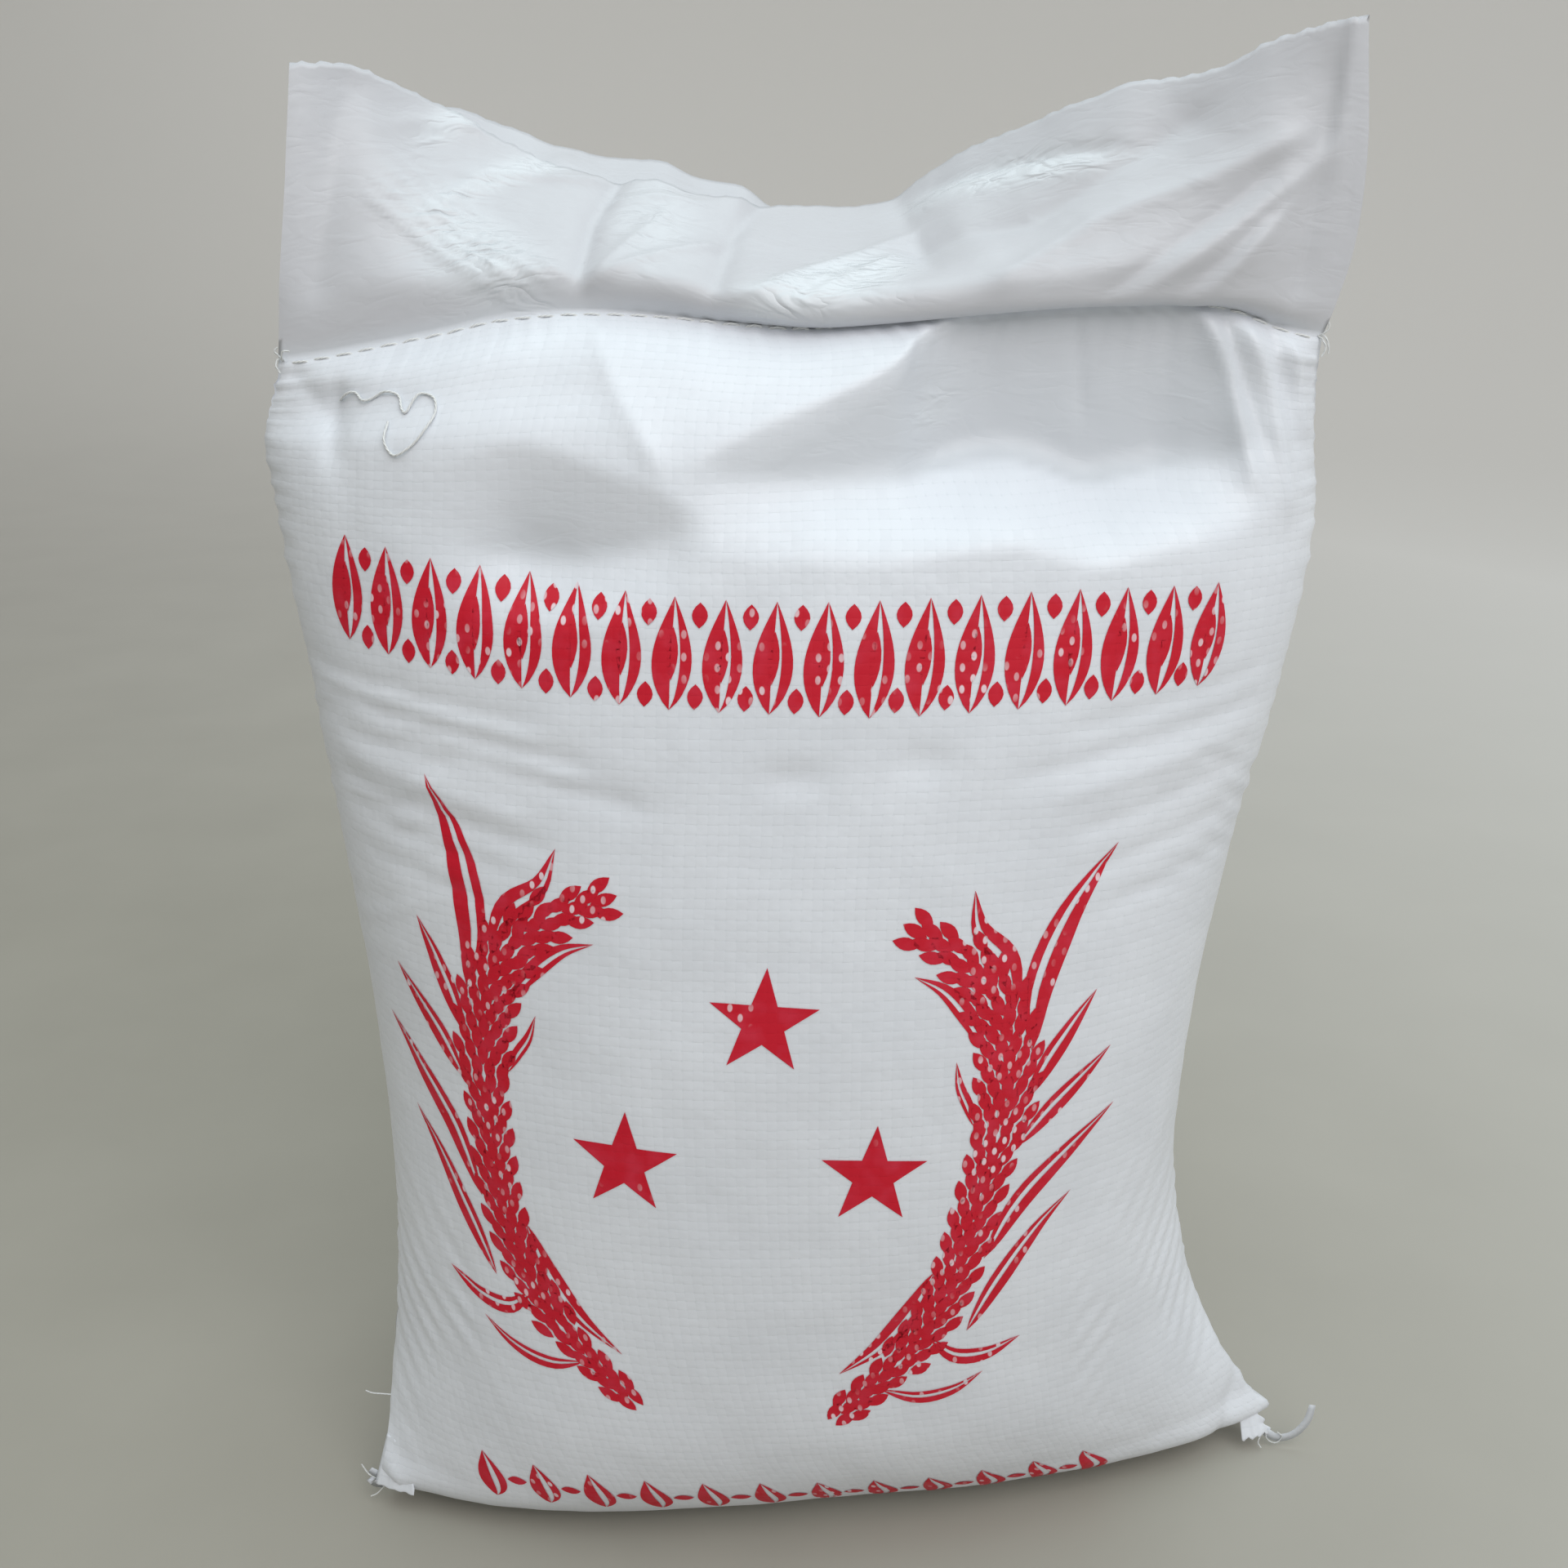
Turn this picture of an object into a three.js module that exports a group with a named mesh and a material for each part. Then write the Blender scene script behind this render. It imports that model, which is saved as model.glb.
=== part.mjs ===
// A sack of rice: a bag of woven plastic tape, filled to 400 mm and sewn shut across the top,
// that stands on its settled base. The empty cloth above the stitching is a soft collar,
// upright at both ends and folded back in the middle.
// Millimetres, X to the right of the printed front, Y away from it and Z up.
import * as THREE from 'three';

// Driving sizes
const seamHeight = 403;
const collarLength = 83;
const collarThickness = 5;
const threadRadius = 0.8;
// The origin is the middle of the sack's overall box, on the ground.
const boxMiddle = { x: 10.7, y: -1.5 };
// How the cloth is divided: points across each face, and the share of them bunched to its edges.
const pointsAcross = 44;
const edgeBunching = 0.28;
// The height from which the stitched line's dips are felt, the distance below that line in which
// the hollows fade out, and the exponent that squares off the collar's edges.
const dipStart = 350;
const calmReach = 20;
const collarSquare = 12;
// The share of the collar's lean that it has at the stitching, and of its length that stays flat.
const bendStart = 0.7;
const foldStart = 0.2;

// Stations up the filled bag: how far it reaches to the left, to the right, to the front and
// to the back, how far back its side edges lie, how sharply its two faces meet there (0.5 is a
// round side, 1 a pinched one), how square its plan is (2 is an ellipse), and how much the
// plan is turned, as a slope.
const bagStations = [
  { z: 0, left: 124, right: 122, front: 51, back: 50, edge: -14, pinch: 0.5, square: 3.1, slope: 0.09 },
  { z: 3, left: 133, right: 142, front: 58, back: 57, edge: -21, pinch: 0.6, square: 3.1, slope: 0.1 },
  { z: 10, left: 142, right: 178, front: 64, back: 62, edge: -32, pinch: 0.9, square: 3.1, slope: 0.1 },
  { z: 24, left: 141, right: 173, front: 70, back: 68, edge: -32, pinch: 0.95, square: 2.9, slope: 0.09 },
  { z: 45, left: 140, right: 160, front: 76, back: 72, edge: -26, pinch: 0.78, square: 2.6, slope: 0.065 },
  { z: 75, left: 138, right: 147, front: 78, back: 75, edge: -16, pinch: 0.6, square: 2.4, slope: 0.04 },
  { z: 120, left: 138, right: 139, front: 78, back: 75, edge: -6, pinch: 0.52, square: 2.3, slope: 0.015 },
  { z: 180, left: 141, right: 141, front: 74, back: 73, edge: 0, pinch: 0.5, square: 2.3, slope: 0 },
  { z: 240, left: 147, right: 149, front: 66, back: 66, edge: 0, pinch: 0.52, square: 2.3, slope: 0 },
  { z: 300, left: 153, right: 161, front: 55, back: 54, edge: 0, pinch: 0.55, square: 2.4, slope: 0 },
  { z: 345, left: 158, right: 166, front: 45, back: 43, edge: 0, pinch: 0.6, square: 2.5, slope: 0 },
  { z: 372, left: 160, right: 163, front: 34, back: 32, edge: 0, pinch: 0.7, square: 2.8, slope: 0 },
  { z: 392, left: 156, right: 162, front: 17, back: 17, edge: 0, pinch: 0.75, square: 4, slope: 0 },
  { z: 403, left: 153, right: 162, front: 2.5, back: 2.5, edge: 0, pinch: 0.5, square: 12, slope: 0 },
];
const bagRings = [0, 1.5, 3, 6, 10, 16, 24, 34, 45, 60, 75, 97, 120, 150, 180, 210, 240, 270,
  300, 323, 345, 360, 372, 383, 392, 398, seamHeight];

// Stations across the collar: how far from upright it leans back there, in degrees.
const leanStations = [
  { x: -155, lean: 3 },
  { x: -125, lean: 20 },
  { x: -100, lean: 43 },
  { x: -66, lean: 49 },
  { x: -30, lean: 57 },
  { x: 5, lean: 67 },
  { x: 38, lean: 67 },
  { x: 56, lean: 58 },
  { x: 90, lean: 41 },
  { x: 117, lean: 33 },
  { x: 140, lean: 21 },
  { x: 165, lean: 2 },
];
// Stations up the collar: its reach to the left and right at a share of its length.
const collarStations = [
  { up: 0, left: 153, right: 162 },
  { up: 0.3, left: 150, right: 168 },
  { up: 0.6, left: 147, right: 169 },
  { up: 1, left: 144, right: 165 },
];
const collarRings = [0.07, 0.17, 0.3, 0.44, 0.58, 0.72, 0.86, 1];

// The stitched line dips towards its left end and a little towards its right one.
const seamDips = [
  { x: -162, wide: 46, drop: 11 },
  { x: 172, wide: 30, drop: 4 },
];
// Left of the middle the collar's front cloth ends lower than its back cloth.
const frontCloth = { x: -58, wide: 40, shorter: 9 };

// Soft hollows and swells of the face: centre, reach each way, turn in degrees and depth inwards.
const hollows = [
  { x: 104, z: 372, wide: 42, high: 20, turn: 8, depth: 7 },
  { x: -48, z: 346, wide: 62, high: 11, turn: 14, depth: 5 },
  { x: 34, z: 348, wide: 42, high: 10, turn: -6, depth: 4 },
  { x: 10, z: 366, wide: 60, high: 13, turn: -8, depth: -4 },
  { x: -118, z: 372, wide: 24, high: 22, turn: 0, depth: -4 },
  { x: -100, z: 250, wide: 50, high: 7, turn: 10, depth: 2.5 },
  { x: 108, z: 262, wide: 45, high: 7, turn: -12, depth: 2.5 },
];
// Folds of the collar: place across, place up as a share, reach each way, turn and depth back.
const collarFolds = [
  { x: -62, up: 0.5, wide: 9, high: 40, turn: 20, depth: 6 },
  { x: -104, up: 0.5, wide: 12, high: 46, turn: -24, depth: 5 },
  { x: -16, up: 0.4, wide: 10, high: 34, turn: 16, depth: 5 },
  { x: 66, up: 0.4, wide: 16, high: 46, turn: -30, depth: 6 },
  { x: 112, up: 0.5, wide: 26, high: 50, turn: -12, depth: -8 },
];

// The closing thread: its share of the width, and how it stands off the cloth.
const stitchPoints = 40;
const stitchReach = 0.96;
const stitchStandoff = new THREE.Vector3(0, -1.7, 1.6);
// The loose end of the thread curls over the left shoulder, through these places on the cloth.
const tailCurls = [
  [-134, 392], [-130, 397], [-119, 396], [-112, 397], [-107, 391], [-111, 385],
  [-104, 382], [-99, 388], [-98, 395], [-103, 398],
];
const tailStandoff = new THREE.Vector3(0, -1.1, 0.8);

const cloth = new THREE.MeshStandardMaterial({ color: 0xd9dde2, roughness: 0.45, metalness: 0 });
const thread = new THREE.MeshStandardMaterial({ color: 0xe8e8e6, roughness: 0.6, metalness: 0 });

// A smooth curve of each named value through the stations.
function curveThrough(stations, along, names) {
  const places = stations.map((station) => station[along]);
  const values = stations.flatMap((station) => names.map((name) => station[name]));
  const curve = new THREE.CubicInterpolant(places, values, names.length);
  return (place) => {
    const held = THREE.MathUtils.clamp(place, places[0], places[places.length - 1]);
    return Array.from(curve.evaluate(held));
  };
}

const bagValues = ['left', 'right', 'front', 'back', 'edge', 'pinch', 'square', 'slope'];
const bagAt = curveThrough(bagStations, 'z', bagValues);
const leanAt = curveThrough(leanStations, 'x', ['lean']);
const collarAt = curveThrough(collarStations, 'up', ['left', 'right']);

// A bell that is 1 at the middle of a stretch and fades out beyond its width.
function bell(offset, width) {
  return Math.exp(-((offset / width) ** 2));
}

// How much of a fold's full depth is felt at an offset from its centre.
function share(across, up, fold) {
  const turn = THREE.MathUtils.degToRad(fold.turn);
  const along = across * Math.cos(turn) + up * Math.sin(turn);
  const beside = up * Math.cos(turn) - across * Math.sin(turn);
  return bell(along, fold.wide) * bell(beside, fold.high);
}

// How far the stitched line lies below its level at a place across.
function seamDrop(x) {
  return seamDips.reduce((sum, dip) => sum + dip.drop * bell(x - dip.x, dip.wide), 0);
}

// A point of the filled bag: place across from -1 to 1, height, and -1 for front or 1 for back.
function bagPoint(across, z, side) {
  const [left, right, front, back, edge, pinch, square, slope] = bagAt(z);
  const x = across < 0 ? across * left : across * right;
  const fullness = (1 - Math.abs(across) ** square) ** pinch;
  let y = slope * x + edge;
  y += side < 0 ? -(front + edge) * fullness : (back - edge) * fullness;
  const calm = Math.min(1, (seamHeight - z) / calmReach);
  if (side < 0) {
    for (const hollow of hollows) {
      y += hollow.depth * calm * fullness * share(x - hollow.x, z - hollow.z, hollow);
    }
  }
  const lowered = seamDrop(x) * THREE.MathUtils.smoothstep(z, dipStart, seamHeight);
  return new THREE.Vector3(x, y, z - lowered);
}

// A point of the collar, whose cloth bends back along an arc that is straight at the corners.
function collarPoint(across, up, side) {
  const [left, right] = collarAt(up);
  const x = across < 0 ? across * left : across * right;
  const lean = THREE.MathUtils.degToRad(leanAt(x)[0]);
  const shorter = side < 0 ? frontCloth.shorter * bell(x - frontCloth.x, frontCloth.wide) : 0;
  const length = (collarLength - shorter) * up;
  const start = bendStart * lean;
  const bend = 2 * (1 - bendStart) * lean * up;
  const rise = length * Math.sin(bend / 2) / (bend / 2);
  const middle = start + bend / 2;
  let back = rise * Math.sin(middle);
  for (const fold of collarFolds) {
    const beside = (up - fold.up) * collarLength;
    back += fold.depth * Math.min(1, up / foldStart) * share(x - fold.x, beside, fold);
  }
  const half = side * collarThickness / 2 * (1 - Math.abs(across) ** collarSquare) ** 0.5;
  const turned = start + bend;
  return new THREE.Vector3(
    x,
    back + half * Math.cos(turned),
    seamHeight - seamDrop(x) + rise * Math.cos(middle) - half * Math.sin(turned),
  );
}

// The rings of the sack, each once round from the left edge by the front to the right edge
// and home by the back.
function ring(pointAt) {
  const points = [];
  for (let step = 0; step < 2 * pointsAcross; step += 1) {
    const turn = Math.PI * step / pointsAcross;
    const across = -Math.cos(turn) * (1 - edgeBunching * (1 - Math.abs(Math.cos(turn))));
    points.push(pointAt(across, step < pointsAcross ? -1 : 1));
  }
  return points;
}

// One closed body from rings: walls between them, and a strip from front to back at each end.
function closedBody(rings) {
  const count = 2 * pointsAcross;
  const triangles = [];
  for (let level = 0; level < rings.length - 1; level += 1) {
    for (let step = 0; step < count; step += 1) {
      const a = level * count + step;
      const b = level * count + (step + 1) % count;
      triangles.push(a, b, b + count, a, b + count, a + count);
    }
  }
  const top = (rings.length - 1) * count;
  for (let step = 0; step < pointsAcross; step += 1) {
    const front = [step, step + 1];
    const back = [(count - step) % count, count - step - 1];
    if (step > 0) {
      triangles.push(front[0], back[0], front[1]);
      triangles.push(top + front[0], top + front[1], top + back[0]);
    }
    if (step < pointsAcross - 1) {
      triangles.push(front[1], back[0], back[1]);
      triangles.push(top + front[1], top + back[1], top + back[0]);
    }
  }
  const geometry = new THREE.BufferGeometry();
  const positions = rings.flat().flatMap((point) => point.toArray());
  geometry.setAttribute('position', new THREE.Float32BufferAttribute(positions, 3));
  geometry.setIndex(triangles);
  geometry.computeVertexNormals();
  return geometry;
}

function sack() {
  const bag = bagRings.map((z) => ring((across, side) => bagPoint(across, z, side)));
  const collar = collarRings.map((up) => ring((across, side) => collarPoint(across, up, side)));
  const mesh = new THREE.Mesh(closedBody([...bag, ...collar]), cloth);
  mesh.name = 'sack';
  return mesh;
}

// A round thread along a smooth curve through the points.
function threadAlong(points, steps, name) {
  const section = new THREE.Shape();
  section.absarc(0, 0, threadRadius, 0, 2 * Math.PI);
  const geometry = new THREE.ExtrudeGeometry(section, {
    curveSegments: 4,
    steps,
    extrudePath: new THREE.CatmullRomCurve3(points, false, 'centripetal'),
  });
  const mesh = new THREE.Mesh(geometry, thread);
  mesh.name = name;
  return mesh;
}

// The chain of thread that shuts the bag, laid in the crease below the collar.
function closingStitch() {
  const points = [];
  for (let step = 0; step <= stitchPoints; step += 1) {
    const across = THREE.MathUtils.mapLinear(step, 0, stitchPoints, -stitchReach, stitchReach);
    points.push(bagPoint(across, seamHeight, -1).add(stitchStandoff));
  }
  return threadAlong(points, 2 * stitchPoints, 'closing_stitch');
}

// The loose end of that thread, hanging in curls over the left shoulder.
function threadTail() {
  const points = tailCurls.map(([x, z]) => {
    const [left] = bagAt(z);
    return bagPoint(x / left, z, -1).add(tailStandoff);
  });
  return threadAlong(points, 60, 'thread_tail');
}

const riceSack = new THREE.Group();
riceSack.add(sack(), closingStitch(), threadTail());
riceSack.position.set(-boxMiddle.x, -boxMiddle.y, 0);

export default riceSack;
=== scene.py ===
# A sack of rice that stands on its settled base: white woven polypropylene cloth, sewn shut
# below a loose collar of empty cloth, with an ornament printed in one red ink.
import math

import bmesh
import bpy
import numpy as np
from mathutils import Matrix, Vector, noise


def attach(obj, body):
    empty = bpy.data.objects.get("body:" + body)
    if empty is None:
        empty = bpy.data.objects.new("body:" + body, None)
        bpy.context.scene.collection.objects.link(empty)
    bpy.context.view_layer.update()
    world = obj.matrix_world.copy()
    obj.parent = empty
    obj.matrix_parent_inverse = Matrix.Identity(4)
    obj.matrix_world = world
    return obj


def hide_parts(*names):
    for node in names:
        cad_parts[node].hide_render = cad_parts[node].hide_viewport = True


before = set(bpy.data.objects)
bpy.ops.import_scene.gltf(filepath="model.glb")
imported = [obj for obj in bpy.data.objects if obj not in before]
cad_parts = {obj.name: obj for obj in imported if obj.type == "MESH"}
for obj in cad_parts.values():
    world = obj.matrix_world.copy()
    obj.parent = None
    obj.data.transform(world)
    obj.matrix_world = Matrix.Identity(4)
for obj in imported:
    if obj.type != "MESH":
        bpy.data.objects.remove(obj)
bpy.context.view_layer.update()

# Sizes in the dictionaries are millimetres, X to the right of the printed front, Y away from
# it and Z up; the bag's own middle line is X 0, and boxMiddle moves it over the origin.
sack = {
    "seamHeight": 403.0,
    "collarLength": 83.0,
    "boxMiddle": (10.7, -1.5),
    "faceWidth": 350.0,      # one face of the cloth lying flat
    "frontColumns": 192,
    "backColumns": 124,
    "rowStep": 2.25,
    "collarStep": 1.7,
    "underSteps": 14,        # rows from the bottom seam out to the rim of the base
    "underLength": 40.7,     # mm of cloth there
    "innerReach": 0.25,      # how far up the collar its inside begins, as a share
    "dipStart": 350.0,       # the stitched line's dips are felt above this height
    "calmReach": 14.0,       # hollows fade out this near to the stitched line
    "foldReach": 5.0,        # and folds this near
    "foldCore": 0.35,        # how much of a fold's reach its rounded crest takes
    "foldEnds": 8.0,         # mm over which a fold runs out past its path
    "spanEdge": (0.85, 0.15),    # the shelf below a span: shares under and over its line
    "emptyDepth": 7.0,       # mm off the grain at which cloth looks empty
    "ringSamples": 900,      # places worked out along one face before they are spread evenly
    "profileSamples": 3000,
}

# Stations up the filled bag: reach to the left, right, front and back, the place of the side
# edges, how pinched they are, how square the plan is and how much it is turned.
bag = {
    "z": (0, 3, 10, 24, 45, 75, 120, 180, 240, 300, 345, 372, 392, 403),
    "left": (124, 133, 142, 141, 140, 138, 138, 141, 147, 153, 158, 160, 156, 153),
    "right": (122, 142, 178, 173, 160, 147, 139, 141, 149, 161, 166, 163, 162, 162),
    "front": (44, 50, 59, 69, 76, 78, 78, 74, 66, 55, 45, 34, 17, 0.7),
    "back": (50, 57, 62, 68, 72, 75, 75, 73, 66, 54, 43, 32, 17, 0.7),
    "edge": (-14, -21, -32, -32, -26, -16, -6, 0, 0, 0, 0, 0, 0, 0),
    "pinch": (0.5, 0.6, 0.9, 0.95, 0.78, 0.6, 0.52, 0.5, 0.52, 0.55, 0.6, 0.7, 0.75, 0.5),
    "square": (3.1, 3.1, 3.1, 2.9, 2.6, 2.4, 2.3, 2.3, 2.3, 2.4, 2.5, 2.8, 4, 12),
    "slope": (0.09, 0.1, 0.1, 0.09, 0.065, 0.04, 0.015, 0, 0, 0, 0, 0, 0, 0),
}

# The collar: how far it leans back as a whole at places across, and its reach at shares of its
# length. It rises from the stitching hanging a little forward, and folds back above that.
collar = {
    "x": (-155, -125, -100, -66, -30, 5, 38, 56, 90, 117, 140, 165),
    "lean": (3, 20, 43, 49, 57, 67, 67, 58, 41, 33, 21, 2),
    "up": (0, 0.3, 0.6, 1),
    "left": (153, 150, 147, 144),
    "right": (162, 168, 169, 165),
    "bendStart": 0.7,
    "foldX": (-155, -125, -100, -66, -30, 5, 38, 70, 100, 130, 165),
    "hang": (0, 4, 4, 8, 40, 86, 100, 102, 96, 76, 10),        # degrees forward at first
    "foldAt": (22, 18, 13, 12, 12, 14, 15, 16, 20, 25, 30),    # mm up where it folds back
    "hangReach": 7.5,
    "hangSoft": 4.0,
    "foldWidth": 9.0,
    "bendSteps": 40,
    "seamHalf": 0.7,         # half the thickness of the two cloths at the stitching
    "gap": 4.5,              # between the two cloths at the hem
    "freeFrom": 0.25,        # share of its length over which it comes free of the stitching
    "insideShare": 0.85,     # how far apart the inside faces are of the outside ones
    "insideFade": 0.15,
    "sagX": (-130, -112, -97, -75, -55, -35, -15, 0, 12),
    "sag": (0, 2, 11, 16, 19, 21, 19, 6, 0),                   # of the front cloth's hem
    "hemRagged": (0.5, 1.9, 0.77),    # height, and how quickly its two waves follow
    "liftX": (-140, -128, -119, -110, -102, -93, -84, -75, -66, -57, -48, -39, -30, -22, -13,
              -4, 14, 32, 41, 50, 58, 67, 76, 85, 94, 103, 112, 121, 130, 139, 148, 156, 165),
    "lift": (0, 0, -2, 0, 4.6, 4.3, 2.4, -1, -1.9, -1.6, 0, 1.5, 0, 1, 3,    # of the whole hem
             0, -1, 0.8, 2.4, 1.9, 1.9, 0.3, -1.3, -1.3, -1.6, 0, -1, -2.4, -2.2, 0.8, 2, 3.4, 4.6),
}

# The stitched line's dips: place across, reach and drop; and how far it is drawn up between.
seamDips = ((-162, 46, 11), (172, 30, 4))
seamRise = {
    "x": (-150, -105, -84, -59, -36, -16, 8, 29, 54, 84, 110, 132, 150, 165),
    "rise": (0, 0, 3, 4, 3, 1, 0, 2, 5, 7.5, 7.5, 6, 1.5, 0),
}

# Where the empty cloth spans the grain: below a crest line the front hangs straight, down to a
# lower line where the grain stands out again like a shelf.
spans = (
    {
        "topX": (-30, -23.5, -11.7, -2.4, 11.8, 23.8, 33.5, 41.3, 58, 90),
        "topZ": (366, 368.7, 374.3, 378.4, 383.7, 387.9, 392.1, 398, 402.5, 403),
        "lowX": (-23.5, 2.4, 30.6, 59.5, 67.2, 79.2, 91.3, 103.8, 121.6, 134.1, 142.6),
        "lowZ": (363.4, 361.8, 362.2, 365.7, 366, 363.3, 359.8, 361.7, 364.6, 365.7, 370.1),
        "slope": 0.1,        # mm forward for each mm down
        "shelf": 27.0,
        "ends": (-36, -14, 112, 158),
    },
    {
        "topX": (-104, -94.3, -82.4, -69, -55.2, -40.6, -23, -10),
        "topZ": (366, 368.3, 371.1, 370.2, 365.8, 361.1, 354, 350),
        "lowX": (-100, -85.2, -59.5, -37.8, -25.8),
        "lowZ": (342.6, 341.2, 340.1, 345.1, 350.3),
        "slope": 0.06,
        "shelf": 24.0,
        "ends": (-112, -72, -34, -18),
    },
)

# Soft hollows of the filled bag: x, z, reach across, reach up, turn in degrees, depth and how
# sharp their edges are. A negative depth is a swell.
frontHollows = (
    (-133, 374, 5, 26, 8, 2, 2),
    (-104, 378, 26, 16, 0, -3, 2),
    (2, 279, 10, 5, 0, 1.3, 2),
    (41, 283, 10, 6, 0, 1.3, 2),
    (128, 334, 10, 30, 10, -1.6, 2),
)

# Folds and ridges of the filled bag's front: a path of x and z, reach and height forward.
frontFolds = (
    ((124, 402), (133, 386), (139, 364), 3.4, 3.1),
    ((138, 400), (148, 380), (152, 356), 3.4, 2.8),
    ((152, 402), (157, 380), 2.4, 2.6),
    ((131, 400), (142, 374), 2.2, -1.8),
    ((146, 400), (153, 374), 2.0, -1.6),
    ((-56, 400), (-50, 386), (-40, 371), 3.0, 1.7),
    ((-134, 388), (-135, 372), 3.0, -2.2),
    ((88, 399), (90, 380), 1.4, -0.9),
    ((-143, 303), (-83, 294), 2.6, -1.3),
    ((-140, 299), (-80, 290), 2.4, 1.1),
    ((-135, 295), (-66, 283), 2.6, -1.3),
    ((-128, 290), (-66, 278), 2.4, 1.1),
    ((-118, 288), (-48, 271), 2.8, -1.3),
    ((-134, 284), (-104, 279), 2.2, -1.0),
    ((-131, 276), (-84, 266), 2.4, 1.0),
    ((-133, 268), (-77, 257), 2.4, -1.1),
    ((-131, 258), (-88, 249), 2.4, -0.9),
    ((-128, 246), (-96, 239), 2.2, -0.8),
    ((140, 302), (92, 292), 2.4, -1.0),
    ((140, 292), (78, 279), 2.6, -1.2),
    ((138, 283), (88, 272), 2.4, 0.9),
    ((138, 272), (94, 261), 2.4, -1.0),
    ((137, 258), (100, 249), 2.2, -0.9),
    ((135, 244), (104, 236), 2.2, -0.8),
    ((-141, 20), (-132, 3), 3.0, 2.2),
    ((168, 36), (162, 16), 3.0, -2.0),
    ((160, 44), (166, 34), 3.0, 1.8),
    ((-146, 396), (-138, 384), 5.0, -2.6),
)
backHollows = (
    (-70, 366, 50, 16, -6, 9, 3),
    (60, 352, 44, 13, 10, 6, 2),
    (96, 380, 8, 24, -10, 3, 2),
    (10, 300, 60, 9, 4, 3, 2),
)
backFolds = (
    ((-142, 306), (-84, 292), 2.8, -1.4),
    ((-140, 294), (-66, 276), 2.8, 1.3),
    ((-138, 280), (-80, 266), 2.6, -1.2),
    ((-136, 264), (-92, 252), 2.4, -1.0),
    ((-134, 246), (-100, 238), 2.4, -0.8),
    ((152, 326), (96, 314), 2.6, -1.2),
    ((148, 308), (76, 292), 2.8, 1.3),
    ((144, 292), (88, 280), 2.6, -1.3),
    ((140, 274), (96, 264), 2.4, -1.0),
    ((138, 254), (106, 246), 2.4, -0.8),
    ((152, 26), (128, 56), (92, 104), 6.0, 2.4),
    ((144, 60), (112, 104), 4.0, -1.6),
    ((-132, 24), (-112, 56), (-84, 96), 6.0, 2.2),
    ((-134, 66), (-112, 104), 4.0, -1.4),
    ((-112, 400), (-100, 378), (-92, 350), 3.4, 2.6),
    ((-34, 400), (-38, 374), 3.0, 2.0),
    ((22, 401), (30, 380), 2.8, -1.8),
    ((66, 400), (76, 376), (80, 352), 3.4, 2.6),
    ((134, 398), (128, 372), 3.2, 2.2),
)

# Creases of the collar's two cloths: a path of x and mm above the stitching, reach, and height
# towards the front.
frontCreases = (
    ((-130, 76), (-134, 58), (-139, 22), 8, -3.8),
    ((-119, 40), (-80, 6), 1.6, 1.6),
    ((-117, 45), (-76, 9), 1.6, 1.9),
    ((-114, 49), (-73, 14), 1.6, 1.9),
    ((-111, 53), (-71, 19), 1.6, 1.7),
    ((-106, 56), (-78, 31), 1.6, 1.1),
    ((-104, 44), (-93, 64), (-62, 78), 2.0, 1.6),
    ((-110, 74), (-98, 82), 2.0, 1.5),
    ((-53, 80), (-59, 52), (-61, 12), 3.2, -3.4),
    ((-56, 12), (-24, 44), 2.2, 1.8),
    ((-54, 20), (-34, 66), 2.0, 1.4),
    ((-47, 68), (-32, 74), 2.2, 1.6),
    ((-9, 80), (-16, 57), (-21, 14), 4.5, -3.2),
    ((-9, 16), (10, 24), 1.8, 1.4),
    ((2, 26), (36, 52), 1.8, 1.5),
    ((12, 18), (32, 38), 1.6, 1.2),
    ((36, 84), (39, 62), (44, 34), 4.2, -1.8),
    ((46, 82), (50, 60), (60, 30), 8, 1.3),
    ((50, 74), (92, 65), 2.0, -2.0),
    ((44, 44), (75, 42), (119, 68), 6, -2.8),
    ((66, 18), (91, 36), (143, 54), 4.5, 2.6),
    ((96, 12), (138, 45), 3.0, -1.9),
    ((106, 12), (146, 42), 2.8, 1.9),
    ((114, 8), (149, 41), 2.6, -1.8),
    ((122, 7), (155, 48), 3.0, 2.6),
    ((157, 70), (152, 12), 4, -3.2),
)
backCreases = (
    ((-100, 14), (-70, 70), 7, 3.0),
    ((-40, 12), (-20, 70), 6, -3.0),
    ((20, 10), (48, 74), 8, 3.0),
    ((84, 12), (110, 70), 6, -3.0),
    ((120, 10), (150, 64), 6, 2.4),
)


def smoothCurve(places, values):
    places = np.array(places, float)
    values = np.array(values, float)
    secants = np.diff(values) / np.diff(places)
    slopes = np.concatenate(([secants[0]], (secants[1:] + secants[:-1]) / 2, [secants[-1]]))

    def at(place):
        held = np.clip(place, places[0], places[-1])
        index = np.clip(np.searchsorted(places, held) - 1, 0, len(places) - 2)
        step = places[index + 1] - places[index]
        t = (held - places[index]) / step
        start = (1 + 2 * t) * (1 - t) ** 2 * values[index] + t * (1 - t) ** 2 * step * slopes[index]
        end = t * t * (3 - 2 * t) * values[index + 1] - t * t * (1 - t) * step * slopes[index + 1]
        return start + end

    return at


def runLengths(points):
    # How far along a run of points each one lies.
    steps = np.linalg.norm(np.diff(points, axis=0), axis=1)
    return np.concatenate(([0], np.cumsum(steps)))


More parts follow.
